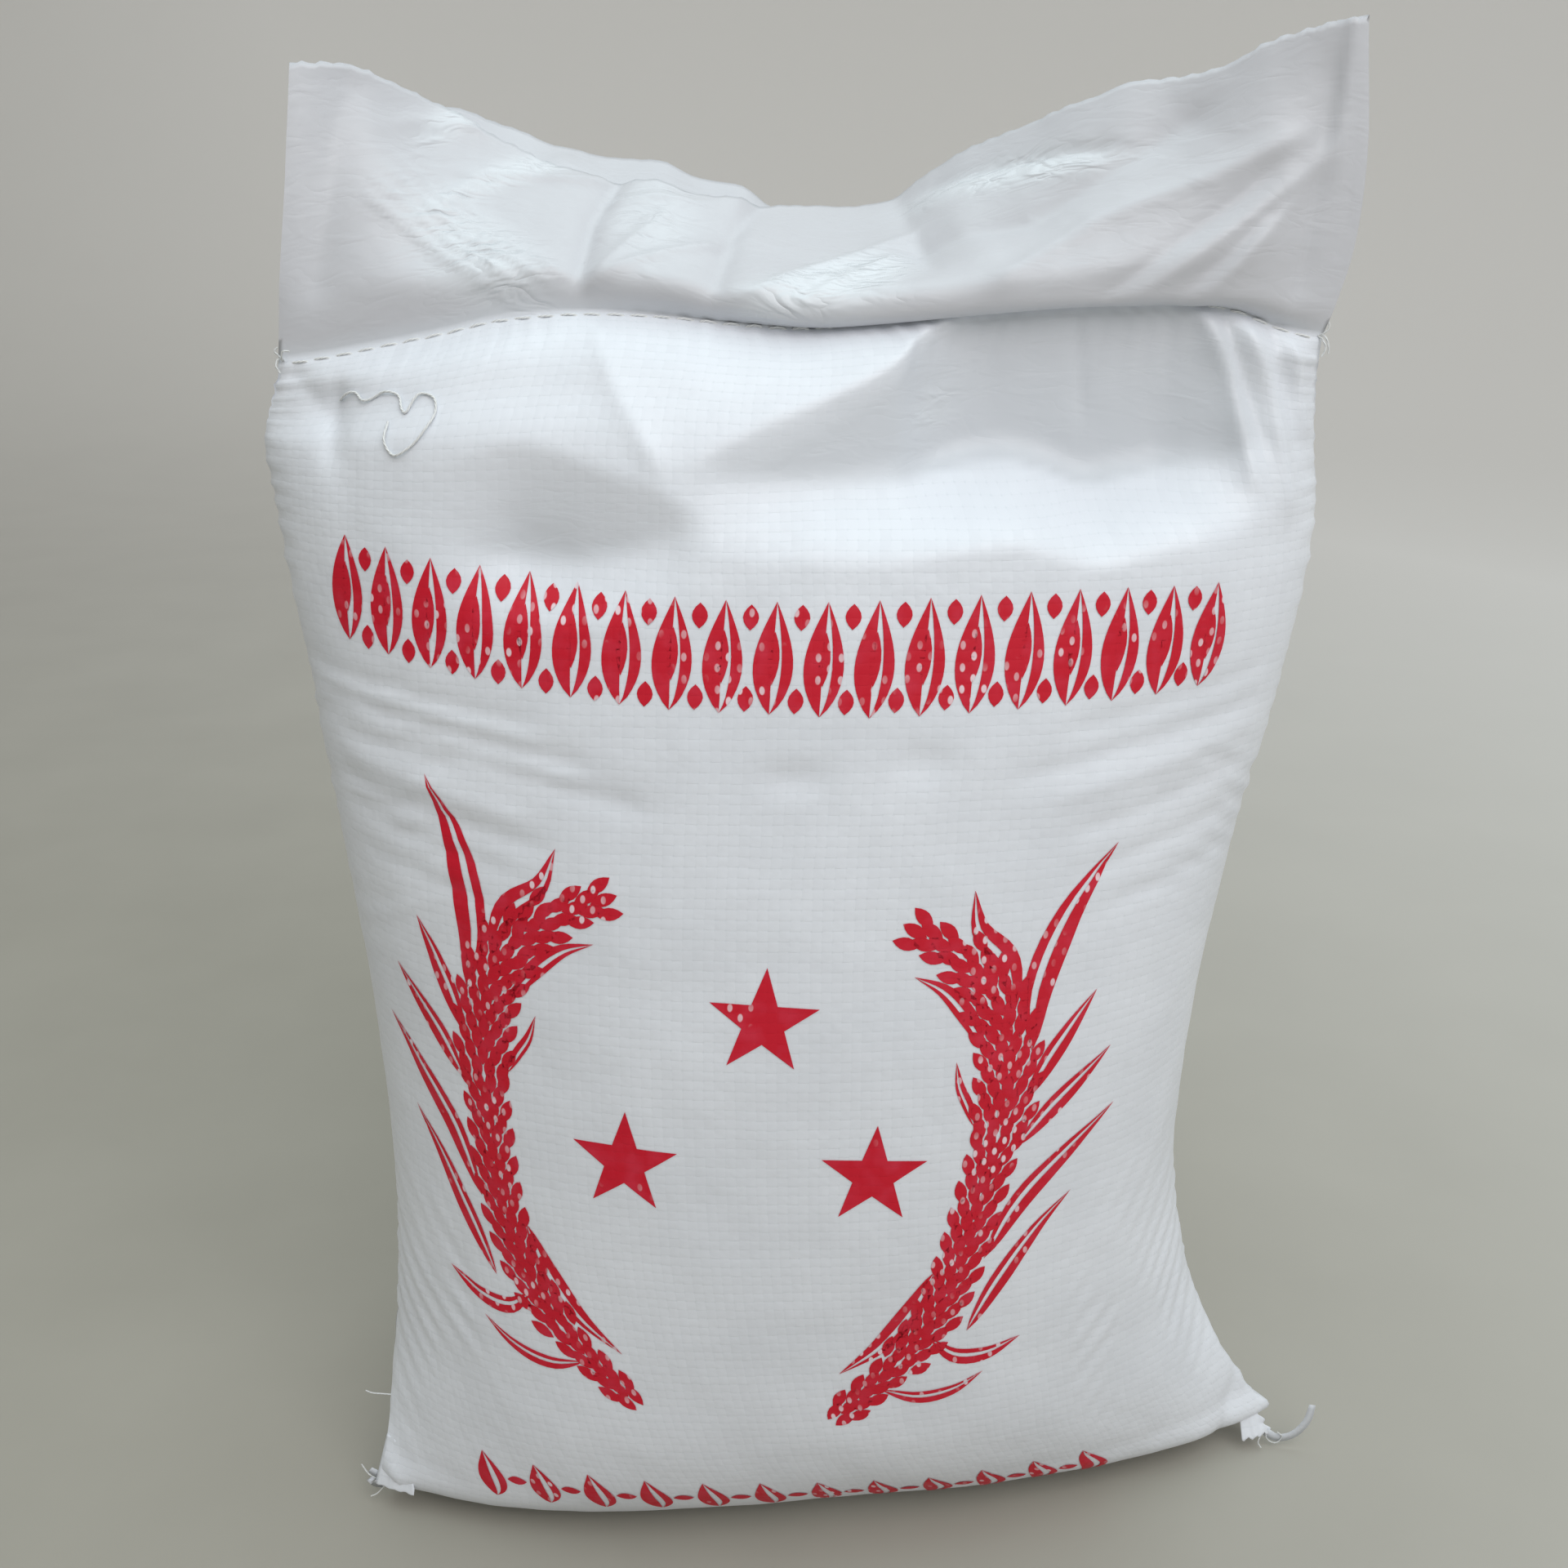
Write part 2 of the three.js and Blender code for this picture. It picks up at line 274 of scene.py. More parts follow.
bagCurves = {name: smoothCurve(bag["z"], bag[name]) for name in bag if name != "z"}
leanAt = smoothCurve(collar["x"], collar["lean"])
hangAt = smoothCurve(collar["foldX"], collar["hang"])
foldAt = smoothCurve(collar["foldX"], collar["foldAt"])
sagAt = smoothCurve(collar["sagX"], collar["sag"])
liftAt = smoothCurve(collar["liftX"], collar["lift"])
riseAt = smoothCurve(seamRise["x"], seamRise["rise"])
collarLeftAt = smoothCurve(collar["up"], collar["left"])
collarRightAt = smoothCurve(collar["up"], collar["right"])


def bell(offset, width):
    return np.exp(-(offset / width) ** 2)


def smoothStep(value, start, end):
    t = np.clip((value - start) / (end - start), 0, 1)
    return t * t * (3 - 2 * t)


def hollowDepth(x, z, hollow):
    midX, midZ, wide, high, turn, depth, sharpness = hollow
    angle = math.radians(turn)
    along = ((x - midX) * math.cos(angle) + (z - midZ) * math.sin(angle)) / wide
    beside = ((z - midZ) * math.cos(angle) - (x - midX) * math.sin(angle)) / high
    return depth * np.exp(-(along**2 + beside**2) ** (sharpness / 2))


def creaseHeight(x, rise, crease):
    # A ridge or a valley along a path of two or more points.
    *path, width, height = crease
    soft = sack["foldCore"] * width
    ridge = 0
    for start, end in zip(path, path[1:]):
        dx, dz = end[0] - start[0], end[1] - start[1]
        length = math.hypot(dx, dz)
        along = ((x - start[0]) * dx + (rise - start[1]) * dz) / length
        beside = ((x - start[0]) * dz - (rise - start[1]) * dx) / length
        beyond = np.maximum(np.maximum(-along, along - length), 0)
        crest = np.exp(-(np.sqrt(beside**2 + soft**2) - soft) / width)
        ridge = np.maximum(ridge, crest * bell(beyond, sack["foldEnds"]))
    return height * ridge


def spanDepth(across, x, z, span):
    # How far the hanging cloth stays behind the bulge that it would otherwise have.
    top = smoothCurve(span["topX"], span["topZ"])(x)
    low = smoothCurve(span["lowX"], span["lowZ"])(x)
    crest = bulgeAt(across, top) + span["slope"] * np.maximum(top - z, 0)
    depth = np.maximum(bulgeAt(across, z) - crest, 0) * (z < top)
    first, full, fading, last = span["ends"]
    between = smoothStep(x, first, full) * (1 - smoothStep(x, fading, last))
    under, over = (share * span["shelf"] for share in sack["spanEdge"])
    return depth * smoothStep(z, low - under, low + over) * between


def bulgeAt(across, z):
    fullness = np.maximum(1 - np.abs(across) ** bagCurves["square"](z), 0) ** bagCurves["pinch"](z)
    return bagCurves["front"](z) * fullness


def seamDrop(x):
    return sum(drop * bell(x - place, reach) for place, reach, drop in seamDips)


def loweredBy(x, z):
    # What the stitched line's dips and rises take from the height below it.
    return (seamDrop(x) - riseAt(x)) * smoothStep(z, sack["dipStart"], sack["seamHeight"])


def bagPoint(across, z, side):
    value = {name: curve(z) for name, curve in bagCurves.items()}
    x = across * np.where(across < 0, value["left"], value["right"])
    fullness = np.maximum(1 - np.abs(across) ** value["square"], 0) ** value["pinch"]
    reach = value["back"] - value["edge"] if side > 0 else -value["front"] - value["edge"]
    y = value["slope"] * x + value["edge"] + reach * fullness
    calm = np.clip((sack["seamHeight"] - z) / sack["calmReach"], 0, 1)
    for hollow in frontHollows if side < 0 else backHollows:
        y = y - side * calm * fullness * hollowDepth(x, z, hollow)
    if side < 0:
        for span in spans:
            y = y + spanDepth(across, x, z, span)
    calm = np.clip((sack["seamHeight"] - z) / sack["foldReach"], 0, 1)
    for fold in frontFolds if side < 0 else backFolds:
        y = y + side * calm * creaseHeight(x, z, fold)
    return np.stack([x, y, z - loweredBy(x, z)], -1)


def underPoint(across, share, side):
    rim = bagPoint(across, 0.0, side)
    middle = bagCurves["slope"](0.0) * rim[:, 0] + bagCurves["edge"](0.0)
    rim[:, 1] = middle + share * (rim[:, 1] - middle)
    return rim


def collarOffsets(x, up, across):
    # Where the two cloths stand from the collar's middle sheet; the back one gives way to the
    # creases of the front one.
    free = smoothStep(up, 0, collar["freeFrom"])
    rise = up * sack["collarLength"]
    shut = np.maximum(1 - np.abs(across) ** 8, 0) ** 0.5
    half = collar["seamHalf"] + 0.5 * collar["gap"] * free * up
    front = -half - free * sum(creaseHeight(x, rise, crease) for crease in frontCreases)
    back = half - free * sum(creaseHeight(x, rise, crease) for crease in backCreases)
    least = front + 2 * collar["seamHalf"]
    back = 0.5 * (back + least + np.sqrt((back - least) ** 2 + 0.5))
    return front * shut, back * shut


def collarSide(x, length, up):
    # The sheet seen from the side: back and rise in millimetres after a share of its length,
    # and its angle there. The second fold is as strong as the height of the hem asks for.
    lean = np.radians(leanAt(x))
    bend = 2 * (1 - collar["bendStart"]) * lean
    hem = length * np.sin(bend / 2) / (bend / 2) * np.cos(lean)
    hang = -np.radians(hangAt(x))
    fold = foldAt(x)
    first, soft = collar["hangReach"], collar["hangSoft"]
    straight = first * np.cos(hang) + fold - first
    folded = np.arccos(np.clip((hem - straight) / (length - fold), -1, 0.9999))
    half, steps = collar["foldWidth"] / 2, collar["bendSteps"]
    back = rise = 0
    for step in range(steps + 1):
        along = length * up * min(step + 0.5, steps) / steps
        angle = hang * (1 - smoothStep(along, first - soft, first + soft))
        angle = angle + folded * smoothStep(along, fold - half, fold + half)
        if step < steps:
            back = back + np.sin(angle) * length * up / steps
            rise = rise + np.cos(angle) * length * up / steps
    return back, rise, angle


def collarPoint(across, up, side, inside=False):
    x = across * np.where(across < 0, collarLeftAt(up), collarRightAt(up))
    front, back = collarOffsets(x, up, across)
    offset, kept = front if side < 0 else back, 1.0
    if inside:
        middle = 0.5 * (front + back)
        held = smoothStep(up, sack["innerReach"], 1.0)
        offset = middle + (offset - middle) * held * collar["insideShare"]
        kept = smoothStep(up, sack["innerReach"], sack["innerReach"] + collar["insideFade"])
    height, first, second = collar["hemRagged"]
    ragged = height * np.sin(x * first + side) * np.sin(x * second) * up**8
    shorter = sagAt(x) * kept if side < 0 else 0
    reached = up * (1 - (shorter + ragged) / sack["collarLength"])
    y, rise, angle = collarSide(x, sack["collarLength"], reached)
    y = y + offset * np.cos(angle)
    z = sack["seamHeight"] - seamDrop(x) + rise - offset * np.sin(angle)
    z = z + liftAt(x) * up**3 + riseAt(x) * (1 - up) ** 2
    return np.stack([x, y, z], -1)


def evenRing(pointAt, *place):
    # One row right round the sack, its points spread evenly over the front and over the back.
    dense = -np.cos(np.linspace(0, math.pi, sack["ringSamples"]))
    faces = []
    for side, columns in ((-1, sack["frontColumns"]), (1, sack["backColumns"])):
        points = pointAt(dense[::-side], place[0], side, *place[1:])
        lengths = runLengths(points)
        wanted = np.linspace(0, lengths[-1], columns + 1)
        faces.append(np.stack([np.interp(wanted, lengths, axis) for axis in points.T], -1))
    return np.concatenate([faces[0], faces[1][1:]])


def layRows():
    # The rows of the cloth from the bottom seam up to the hem and down inside the collar, and
    # the cloth's own height V at each of them.
    rows, heights = [], []

    def lay(height, *ring):
        rows.append(evenRing(*ring))
        heights.append(height)

    for step in range(sack["underSteps"]):
        share = step / sack["underSteps"]
        lay(share * sack["underLength"], underPoint, share)
    fine = np.linspace(0, sack["seamHeight"], sack["profileSamples"])
    lengths = runLengths(bagPoint(np.zeros_like(fine), fine, -1))
    for length in np.linspace(0, lengths[-1], round(lengths[-1] / sack["rowStep"])):
        lay(sack["underLength"] + length, bagPoint, float(np.interp(length, lengths, fine)))
    seamV = heights[-1]
    steps = round(sack["collarLength"] / sack["collarStep"])
    for up in [step / steps for step in range(1, steps + 1)]:
        lay(seamV + up * sack["collarLength"], collarPoint, up)
    outerRows = len(rows)
    for up in [step / steps for step in range(steps, round(steps * sack["innerReach"]) - 1, -1)]:
        lay(seamV + up * sack["collarLength"], collarPoint, up, True)
    return np.array(rows), np.array(heights), outerRows, seamV


# Fine relief of the cloth in millimetres, added along its normals. A kind of ripple has its height
# and spacing, then its patches: their reach on U and V, a seed, and where they begin and are full.
relief = {
    "soft": ((0.55, 34.0, 1.7), (0.22, 11.0, 8.3)),    # height, size and seed of the grain's lumps
    "footCalm": (-1, 12),        # z over which they begin
    "backShift": 40.0,           # moves the pattern along U on the back
    "wander": (45, 3.1),         # size and seed of what bends the ripples
    "tension": (0.5, 10.0, 38, 13, 5.9, -0.15, 0.35),    # pulls that slope down to the middle
    "tensionAt": (262, 40),      # their height up the bag and reach
    "tensionSlope": 0.36,
    "tensionSides": (0.45, 0.8),    # shares of the half width over which they begin
    "ladder": (0.5, 7.2, 16, 30, 6.4, -0.25, 0.3),    # slanting, above the bunched lower corners
    "ladderAt": (85, 42),
    "ladderSlant": (0.82, 0.57),
    "ladderSides": (84, 112),
    "edgeNips": (0.55, 8.3, 25, 1, 7.7, -0.4, 0.3),    # of the folded side edges
    "nipSides": (0.88, 1.0),
    "nipsAbove": (6, 20),
    "gathers": (0.6, 7.5, 30, 90, 9.1, -0.3, 0.4),    # small pleats below the stitching
    "gatherReach": 16.0,
    "crumple": (0.3, 17.0),      # of the loose collar
}

# Where the empty cloth is crumpled and glossy, with a painted highlight colour on top: U and V on
# the flat cloth, reaches, turn in degrees, strength and how sharp the edges are.
crumpledShineSpots = (
    (190, 505, 18, 15, 40, 1, 3),
    (172, 496, 22, 9, 30, 0.9, 3),
    (120, 520, 15, 26, 0, 0.5, 3),
    (64, 500, 34, 13, -40, 0.75, 3),
    (241, 544, 34, 7, -8, 1, 3),
    (54, 551, 15, 5, 32, 0.8, 3),
    (76, 538, 30, 5, 35, 0.8, 3),
    (219, 438, 11, 6, 40, 0.5, 2),
    (560, 520, 60, 20, 20, 0.3, 3),
    (440, 530, 50, 16, -25, 0.3, 3),
)


def clothNoise(u, v, wide, high, seed):
    flat = zip((u / wide).ravel(), (v / high).ravel())
    return np.array([noise.noise(Vector((a, b, seed))) for a, b in flat]).reshape(u.shape)


def ripple(kind, along, drift, patchU, patchV):
    # Waves with narrow crests along a direction, as pulled cloth has, in patches.
    height, spacing, wide, high, seed, least, full = relief[kind]
    wave = 1 - 2 * np.abs(np.sin((along / spacing * 2 * math.pi + drift) / 2)) ** 0.8
    return height * wave * smoothStep(clothNoise(patchU, patchV, wide, high, seed), least, full)


def clothRelief(points, u, v, seamV):
    x, z = np.abs(points[..., 0]), points[..., 2]
    front = u < sack["faceWidth"]
    across = np.abs(np.where(front, u, 2 * sack["faceWidth"] - u) / sack["faceWidth"] * 2 - 1)
    shifted = u + np.where(front, 0.0, relief["backShift"])
    onBag = 1 - smoothStep(v, seamV - 4, seamV)
    size, seed = relief["wander"]
    wander = clothNoise(shifted, v, size, size, seed)
    height = sum(depth * clothNoise(u, v, size, size, seed) for depth, size, seed in relief["soft"])
    height = height * onBag * smoothStep(z, *relief["footCalm"])

    place, reach = relief["tensionAt"]
    pulls = ripple("tension", -(z + relief["tensionSlope"] * x), 5 * wander, shifted, v)
    height = height + pulls * smoothStep(across, *relief["tensionSides"]) * bell(z - place, reach)

    (place, reach), (outward, upward) = relief["ladderAt"], relief["ladderSlant"]
    corner = bell(z - place, reach) * smoothStep(x, *relief["ladderSides"])
    height = height + ripple("ladder", outward * x - upward * z, 3 * wander, shifted, v) * corner

    side = np.where(front, -1.0, 1.0)
    edge = smoothStep(across, *relief["nipSides"]) * onBag * smoothStep(z, *relief["nipsAbove"])
    drift = 6 * clothNoise(v, side * 9, 30, 1, 2.2)
    height = height + ripple("edgeNips", v, drift, v, side) * edge

    below = (seamV - v) / relief["gatherReach"]
    pleat = np.where(below > 0, np.exp(-np.abs(below)) * np.clip(np.abs(below) * 6, 0, 1), 0)
    drift = 5 * clothNoise(u, v, 40, 60, 4.6)
    height = height + ripple("gathers", u, drift, u, v) * pleat

    loose = smoothStep((v - seamV) / sack["collarLength"], 0.05, 0.3)
    depth, size = relief["crumple"]
    crumple = np.abs(clothNoise(shifted, v, size, size * 1.3, 11.2)) - 0.25
    crumple = crumple + 0.5 * np.abs(clothNoise(u + 0.8 * v, v, 5, 12, 12.9)) - 0.12
    return height + depth * crumple * loose


def grainBehind(points, u, v, seamV):
    # 1 where the cloth lies on the grain, 0 where it hangs empty; the cloth's material paints shade
    # where it is low.
    x = points[..., 0]
    z = points[..., 2] + loweredBy(x, points[..., 2])
    reach = np.where(x < 0, bagCurves["left"](z), bagCurves["right"](z))
    across = np.clip(x / reach, -1, 1)
    empty = 0
    for span in spans:
        low = smoothCurve(span["lowX"], span["lowZ"])(x)
        depth = spanDepth(across, x, z, span) / sack["emptyDepth"]
        empty = empty + depth * smoothStep(z, low - 5, low + 3)
    empty = np.where(u < sack["faceWidth"], np.clip(empty, 0, 1), 0)
    return (1 - empty) * (1 - smoothStep(v, seamV - 1, seamV + 2))


def gridNormals(points):
    acrossStep = np.roll(points[:, :-1], -1, 1) - np.roll(points[:, :-1], 1, 1)
    acrossStep = np.concatenate([acrossStep, acrossStep[:, :1]], 1)
    normals = np.cross(acrossStep, np.gradient(points, axis=0))
    return normals / np.maximum(np.linalg.norm(normals, axis=-1, keepdims=True), 1e-9)


frontPlaces = np.linspace(0, sack["faceWidth"], sack["frontColumns"] + 1)
backPlaces = sack["faceWidth"] + np.linspace(0, sack["faceWidth"], sack["backColumns"] + 1)
columnPlaces = np.concatenate([frontPlaces, backPlaces[1:]])


def smoothFaces(mesh, uvMap, placeOf):
    for face in mesh.faces:
        face.smooth = True
        for loop in face.loops:
            loop[uvMap].uv = placeOf(loop.vert)


def buildSack():
    # The grid's columns run round the bag and its rows from the bottom seam to the hem and
    # down inside the collar, so its UV map is the flat cloth itself, in metres.
    points, heights, outerRows, seamV = layRows()
    columns = points.shape[1] - 1
    u = np.tile(columnPlaces, (len(points), 1))
    v = np.tile(heights[:, None], (1, columns + 1))
    sagging = np.where(u < sack["faceWidth"], sagAt(points[..., 0]), 0)
    v = v - sagging * np.clip(v - seamV, 0, None) / sack["collarLength"]
    height = clothRelief(points, u, v, seamV)
    height[outerRows:] *= -1
    height[0] = 0
    height[:, -1] = height[:, 0]
    placed = points + height[..., None] * gridNormals(points)
    placed[..., :2] -= sack["boxMiddle"]
    placed = placed / 1000
    mesh = bmesh.new()
    uvMap = mesh.loops.layers.uv.new("cloth")
    bmesh.ops.create_grid(mesh, x_segments=columns, y_segments=len(points) - 1, size=1)
    mesh.verts.index_update()
    backed = mesh.verts.layers.float.new("filled")
    crumpledShineLayer = mesh.verts.layers.float.new("crumpledShine")
    filled = grainBehind(points, u, v, seamV).ravel()
    crumpledShine = np.clip(sum(hollowDepth(u, v, spot) for spot in crumpledShineSpots), 0, 1).ravel()
    for vert, place, share, amount in zip(mesh.verts, placed.reshape(-1, 3), filled, crumpledShine):
        vert.co = place
        vert[backed] = share
        vert[crumpledShineLayer] = amount
    # The collar's side edges are folds pressed flat.
    seamRow = int(np.searchsorted(heights[:outerRows], seamV)) + 2
    for edge in mesh.edges:
        rows, places = zip(*(divmod(vert.index, columns + 1) for vert in edge.verts))
        pressed = places[0] == places[1] and places[0] in (0, sack["frontColumns"], columns)
        edge.smooth = not (pressed and min(rows) > seamRow)
    flat = np.stack([u, v], -1).reshape(-1, 2) / 1000
    smoothFaces(mesh, uvMap, lambda vert: flat[vert.index])
    for index, face in enumerate(mesh.faces):
        face.material_index = int(index // columns >= outerRows)
    bmesh.ops.remove_doubles(mesh, verts=mesh.verts, dist=2e-6)
    return mesh, placed, heights, outerRows, seamV


def addObject(name, data):
    made = bpy.data.objects.new(name, data)
    bpy.context.scene.collection.objects.link(made)
    return made


def meshObject(name, mesh, material):
    data = bpy.data.meshes.new(name)
    mesh.to_mesh(data)
    mesh.free()
    data.materials.append(material)
    return addObject(name, data)


def finishPiece(name, mesh, material, replaced=None):
    piece = meshObject(name, mesh, material)
    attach(piece, "root")
    if replaced:
        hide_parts(replaced)
    return piece


def linearColor(hexColor):
    parts = [int(hexColor[place : place + 2], 16) / 255 for place in (1, 3, 5)]
    return [c / 12.92 if c <= 0.04045 else ((c + 0.055) / 1.055) ** 2.4 for c in parts] + [1.0]


def newMaterial(name):
    # An empty material and the function that adds its nodes. A node given as an input is linked
    # by its first output in use, and a hex colour is turned linear.
    material = bpy.data.materials.new(name)
    material.use_nodes = True
    tree = material.node_tree
    tree.nodes.clear()

    def add(kind, inputs=None, **settings):
        node = tree.nodes.new("ShaderNode" + kind)
        for setting, value in settings.items():
            setattr(node, setting, value)
        for socket, value in (inputs or {}).items():
            if isinstance(value, bpy.types.Node):
                value = next(output for output in value.outputs if output.enabled)
            if isinstance(value, bpy.types.NodeSocket):
                tree.links.new(value, node.inputs[socket])
            else:
                held = linearColor(value) if isinstance(value, str) else value
                node.inputs[socket].default_value = held
        return node

    return material, add


# The flat tapes of the woven cloth.
weave = {
    "pitch": 3.2,             # mm from tape to tape, both ways
    "relief": 0.00005,        # metres
    "drift": 0.0011,          # metres the tapes stray from their straight lines
    "outside": ("#e6eaf1", "#dce1e8"),    # the tapes and the gaps at their crossings
    # The inside is darker, partly as the uncoated inner side and partly as painted shade inside the
    # collar.
    "inside": ("#d0d5de", "#bcc2cc"),
    "wornColor": "#dee2e9",
    # Painted shade: grey for the unlit inside seen through the empty cloth on the bag's front,
    # darker on the collar.
    "emptyShadeColor": "#cdd1d7",   # where it hangs on the bag's front
    "collarShadeColor": "#c5c6cb",
    "collarFade": 0.006,      # metres
    # Painted highlight colour of the crumpled spots.
    "paintedShineColor": "#d8dde2",
    "emptyRoughness": 0.34,
    "crumpledRoughness": 0.2,
    "crinkle": 0.003,         # metres
    "crinkleTurn": 52,        # degrees
    "crinkleStretch": (0.5, 1.4, 1.0),
    "calmCrinkle": 0.12,      # share of it where the empty cloth hangs smooth
    "roughness": 0.36,
    # Noise cells to the metre: strays of 18 mm, wear of 45 mm, crinkles of 8 mm, fibres of
    # 1.4 mm, drawn coarser than they are so that they show, and grains of 4 mm.
    "scales": {"drift": 55.0, "wear": 22.0, "crinkles": 120.0, "fibres": 700.0, "grains": 230.0},
}


def layWeave(add):
    # Plain weave worked out on the flat cloth: warp and weft tapes take turns on top, each
    # arched along its length and rounded off at its two edges.
    flat = add("UVMap", uv_map="cloth")
    drift = add("TexNoise", {"Vector": flat, "Scale": weave["scales"]["drift"], "Detail": 1.0})
    moved = add("VectorMath", {0: drift.outputs["Color"], 1: (-0.5,) * 3}, operation="ADD")
    stray = (weave["drift"],) * 3
    moved = add("VectorMath", {0: moved, 1: stray, 2: flat}, operation="MULTIPLY_ADD")
    cells = add("VectorMath", {0: moved, "Scale": 1000 / weave["pitch"]}, operation="SCALE")
    index = add("VectorMath", {0: cells}, operation="FLOOR")
    column, row = add("SeparateXYZ", {0: index}).outputs[:2]
    inside = add("VectorMath", {0: cells}, operation="FRACTION")
    inside = add("VectorMath", {0: inside, 1: (2,) * 3, 2: (-1,) * 3}, operation="MULTIPLY_ADD")
    inside = add("VectorMath", {0: inside}, operation="ABSOLUTE")
    offX, offY = add("SeparateXYZ", {0: inside}).outputs[:2]
    total = add("Math", {0: column, 1: row}, operation="ADD")
    weftOver = add("Math", {0: total, 1: 2.0}, operation="FLOORED_MODULO")
    side = add("Mix", {0: weftOver, 2: offX, 3: offY})
    along = add("Mix", {0: weftOver, 2: offY, 3: offX})
    edge = add("Math", {0: side, 1: 4.0}, operation="POWER")
    arch = add("Math", {0: along, 1: 2.0}, operation="POWER")
    arch = add("Math", {0: arch, 1: -0.8, 2: 1.0}, operation="MULTIPLY_ADD")
    crown = add("Math", {0: edge, 1: -0.4, 2: arch}, operation="MULTIPLY_ADD")
    height = add("Math", {0: weftOver, 1: 0.35, 2: crown}, operation="MULTIPLY_ADD")
    corner = add("Math", {0: side, 1: along}, operation="MULTIPLY")
    tape = add("Math", {0: row, 1: 71.0}, operation="ADD")
    tape = add("Mix", {0: weftOver, 2: column, 3: tape})
    tape = add("TexWhiteNoise", {"W": tape}, noise_dimensions="1D")
    # The middle of each cell where the weft is on top, taller than it is wide.
    oval = add("CombineXYZ", {0: offX, 1: offY})
    oval = add("VectorMath", {0: oval, 1: (2.0, 1.25, 0)}, operation="MULTIPLY")
    oval = add("VectorMath", {0: oval}, operation="LENGTH")
    oval = add("MapRange", {0: oval, 1: 1.15, 2: 0.75}, interpolation_type="SMOOTHSTEP")
    spot = add("Math", {0: oval, 1: weftOver}, operation="MULTIPLY")
    return {"flat": flat, "height": height, "tape": tape, "corner": corner, "spot": spot,
            "column": column, "row": row}


def wovenPolypropylene(name, tapeColor, gapColor):
    # Woven slit-film polypropylene: flat tapes slit from drawn film, so it looks cool white and
    # crisp with a soft gloss on each tape and small grey gaps at their crossings. Where no grain
    # lies behind it, its colour is painted greyer as shade for the unlit inside seen through the
    # thin cloth, greyer still on the collar; its crumpled spots get a painted highlight colour,
    # and there its crinkles shine.
    material, add = newMaterial(name)
    laid, scales = layWeave(add), weave["scales"]
    flat, tape = laid["flat"], laid["tape"]
    filled = add("Attribute", attribute_name="filled").outputs["Fac"]
    crumpledShine = add("Attribute", attribute_name="crumpledShine").outputs["Fac"]
    empty = add("Math", {0: 1.0, 1: filled}, operation="SUBTRACT")
    gaps = add("MapRange", {0: laid["corner"], 1: 0.6, 2: 1.0}, interpolation_type="SMOOTHSTEP")
    gaps = add("Math", {0: gaps, 1: filled}, operation="MULTIPLY")
    worn = add("TexNoise", {"Vector": flat, "Scale": scales["wear"], "Detail": 3.0})
    worn = add("MapRange", {0: worn, 1: 0.35, 2: 0.75})
    shade = add("Math", {0: tape, 1: 0.3, 2: worn}, operation="MULTIPLY_ADD")
    tapes = add("Mix", {0: shade, 6: tapeColor, 7: weave["wornColor"]}, data_type="RGBA")
    # Painted shade: where no grain lies behind the cloth, its tapes are mixed towards a grey that
    # stands for the unlit inside seen through it, a darker grey on the collar.
    shadeShare = add("Math", {0: empty, 1: 0.9}, operation="MULTIPLY")
    above = add("SeparateXYZ", {0: flat}).outputs["Y"]
    seam = seamV / 1000
    above = add("MapRange", {0: above, 1: seam, 2: seam + weave["collarFade"]})
    bag, loose = weave["emptyShadeColor"], weave["collarShadeColor"]
    hangingShade = add("Mix", {0: above, 6: bag, 7: loose}, data_type="RGBA")
    # Painted highlight: crumpled spots are mixed towards a paler colour that stands for their
    # glints.
    hangingShade = add("Mix", {0: crumpledShine, 6: hangingShade, 7: weave["paintedShineColor"]}, data_type="RGBA")
    tapes = add("Mix", {0: shadeShare, 6: tapes, 7: hangingShade}, data_type="RGBA")
    color = add("Mix", {0: gaps, 6: tapes, 7: gapColor}, data_type="RGBA")
    dull = add("MapRange", {0: empty, 3: weave["roughness"], 4: weave["emptyRoughness"]})
    dull = add("Mix", {0: crumpledShine, 2: dull, 3: weave["crumpledRoughness"]})
    rough = add("Math", {0: tape, 1: 0.1, 2: dull}, operation="MULTIPLY_ADD")
    turn = (0, 0, math.radians(weave["crinkleTurn"]))
    slanted = add("Mapping", {"Vector": flat, "Rotation": turn, "Scale": weave["crinkleStretch"]})
    crinkle = add("TexNoise", {
        "Vector": slanted, "Scale": scales["crinkles"], "Detail": 2.0, "Distortion": 0.6})
    crinkle = add("Math", {0: crinkle, 1: 0.5}, operation="SUBTRACT")
    crinkle = add("Math", {0: crinkle}, operation="ABSOLUTE")
    amount = add("Math", {0: empty, 1: weave["calmCrinkle"], 2: crumpledShine}, operation="MULTIPLY_ADD")
    crinkle = add("Math", {0: crinkle, 1: amount}, operation="MULTIPLY")
    crease = add("Bump", {"Height": crinkle, "Strength": 1.0, "Distance": weave["crinkle"]})
    fibres = add("TexNoise", {"Vector": flat, "Scale": scales["fibres"], "Detail": 2.0})
    woven = add("Math", {0: fibres, 1: 0.5, 2: laid["height"]}, operation="MULTIPLY_ADD")
    grains = add("TexNoise", {"Vector": flat, "Scale": scales["grains"], "Detail": 1.0})
    woven = add("Math", {0: grains, 1: 3.0, 2: woven}, operation="MULTIPLY_ADD")
    woven = add("Math", {0: woven, 1: filled}, operation="MULTIPLY")
    bump = add("Bump", {
        "Height": woven, "Strength": 1.0, "Distance": weave["relief"], "Normal": crease})
    shader = add("BsdfPrincipled", {
        "Base Color": color, "Roughness": rough, "IOR": 1.49, "Normal": bump,
        "Sheen Weight": 0.12, "Sheen Roughness": 0.5})
    add("OutputMaterial", {"Surface": shader})
    return material


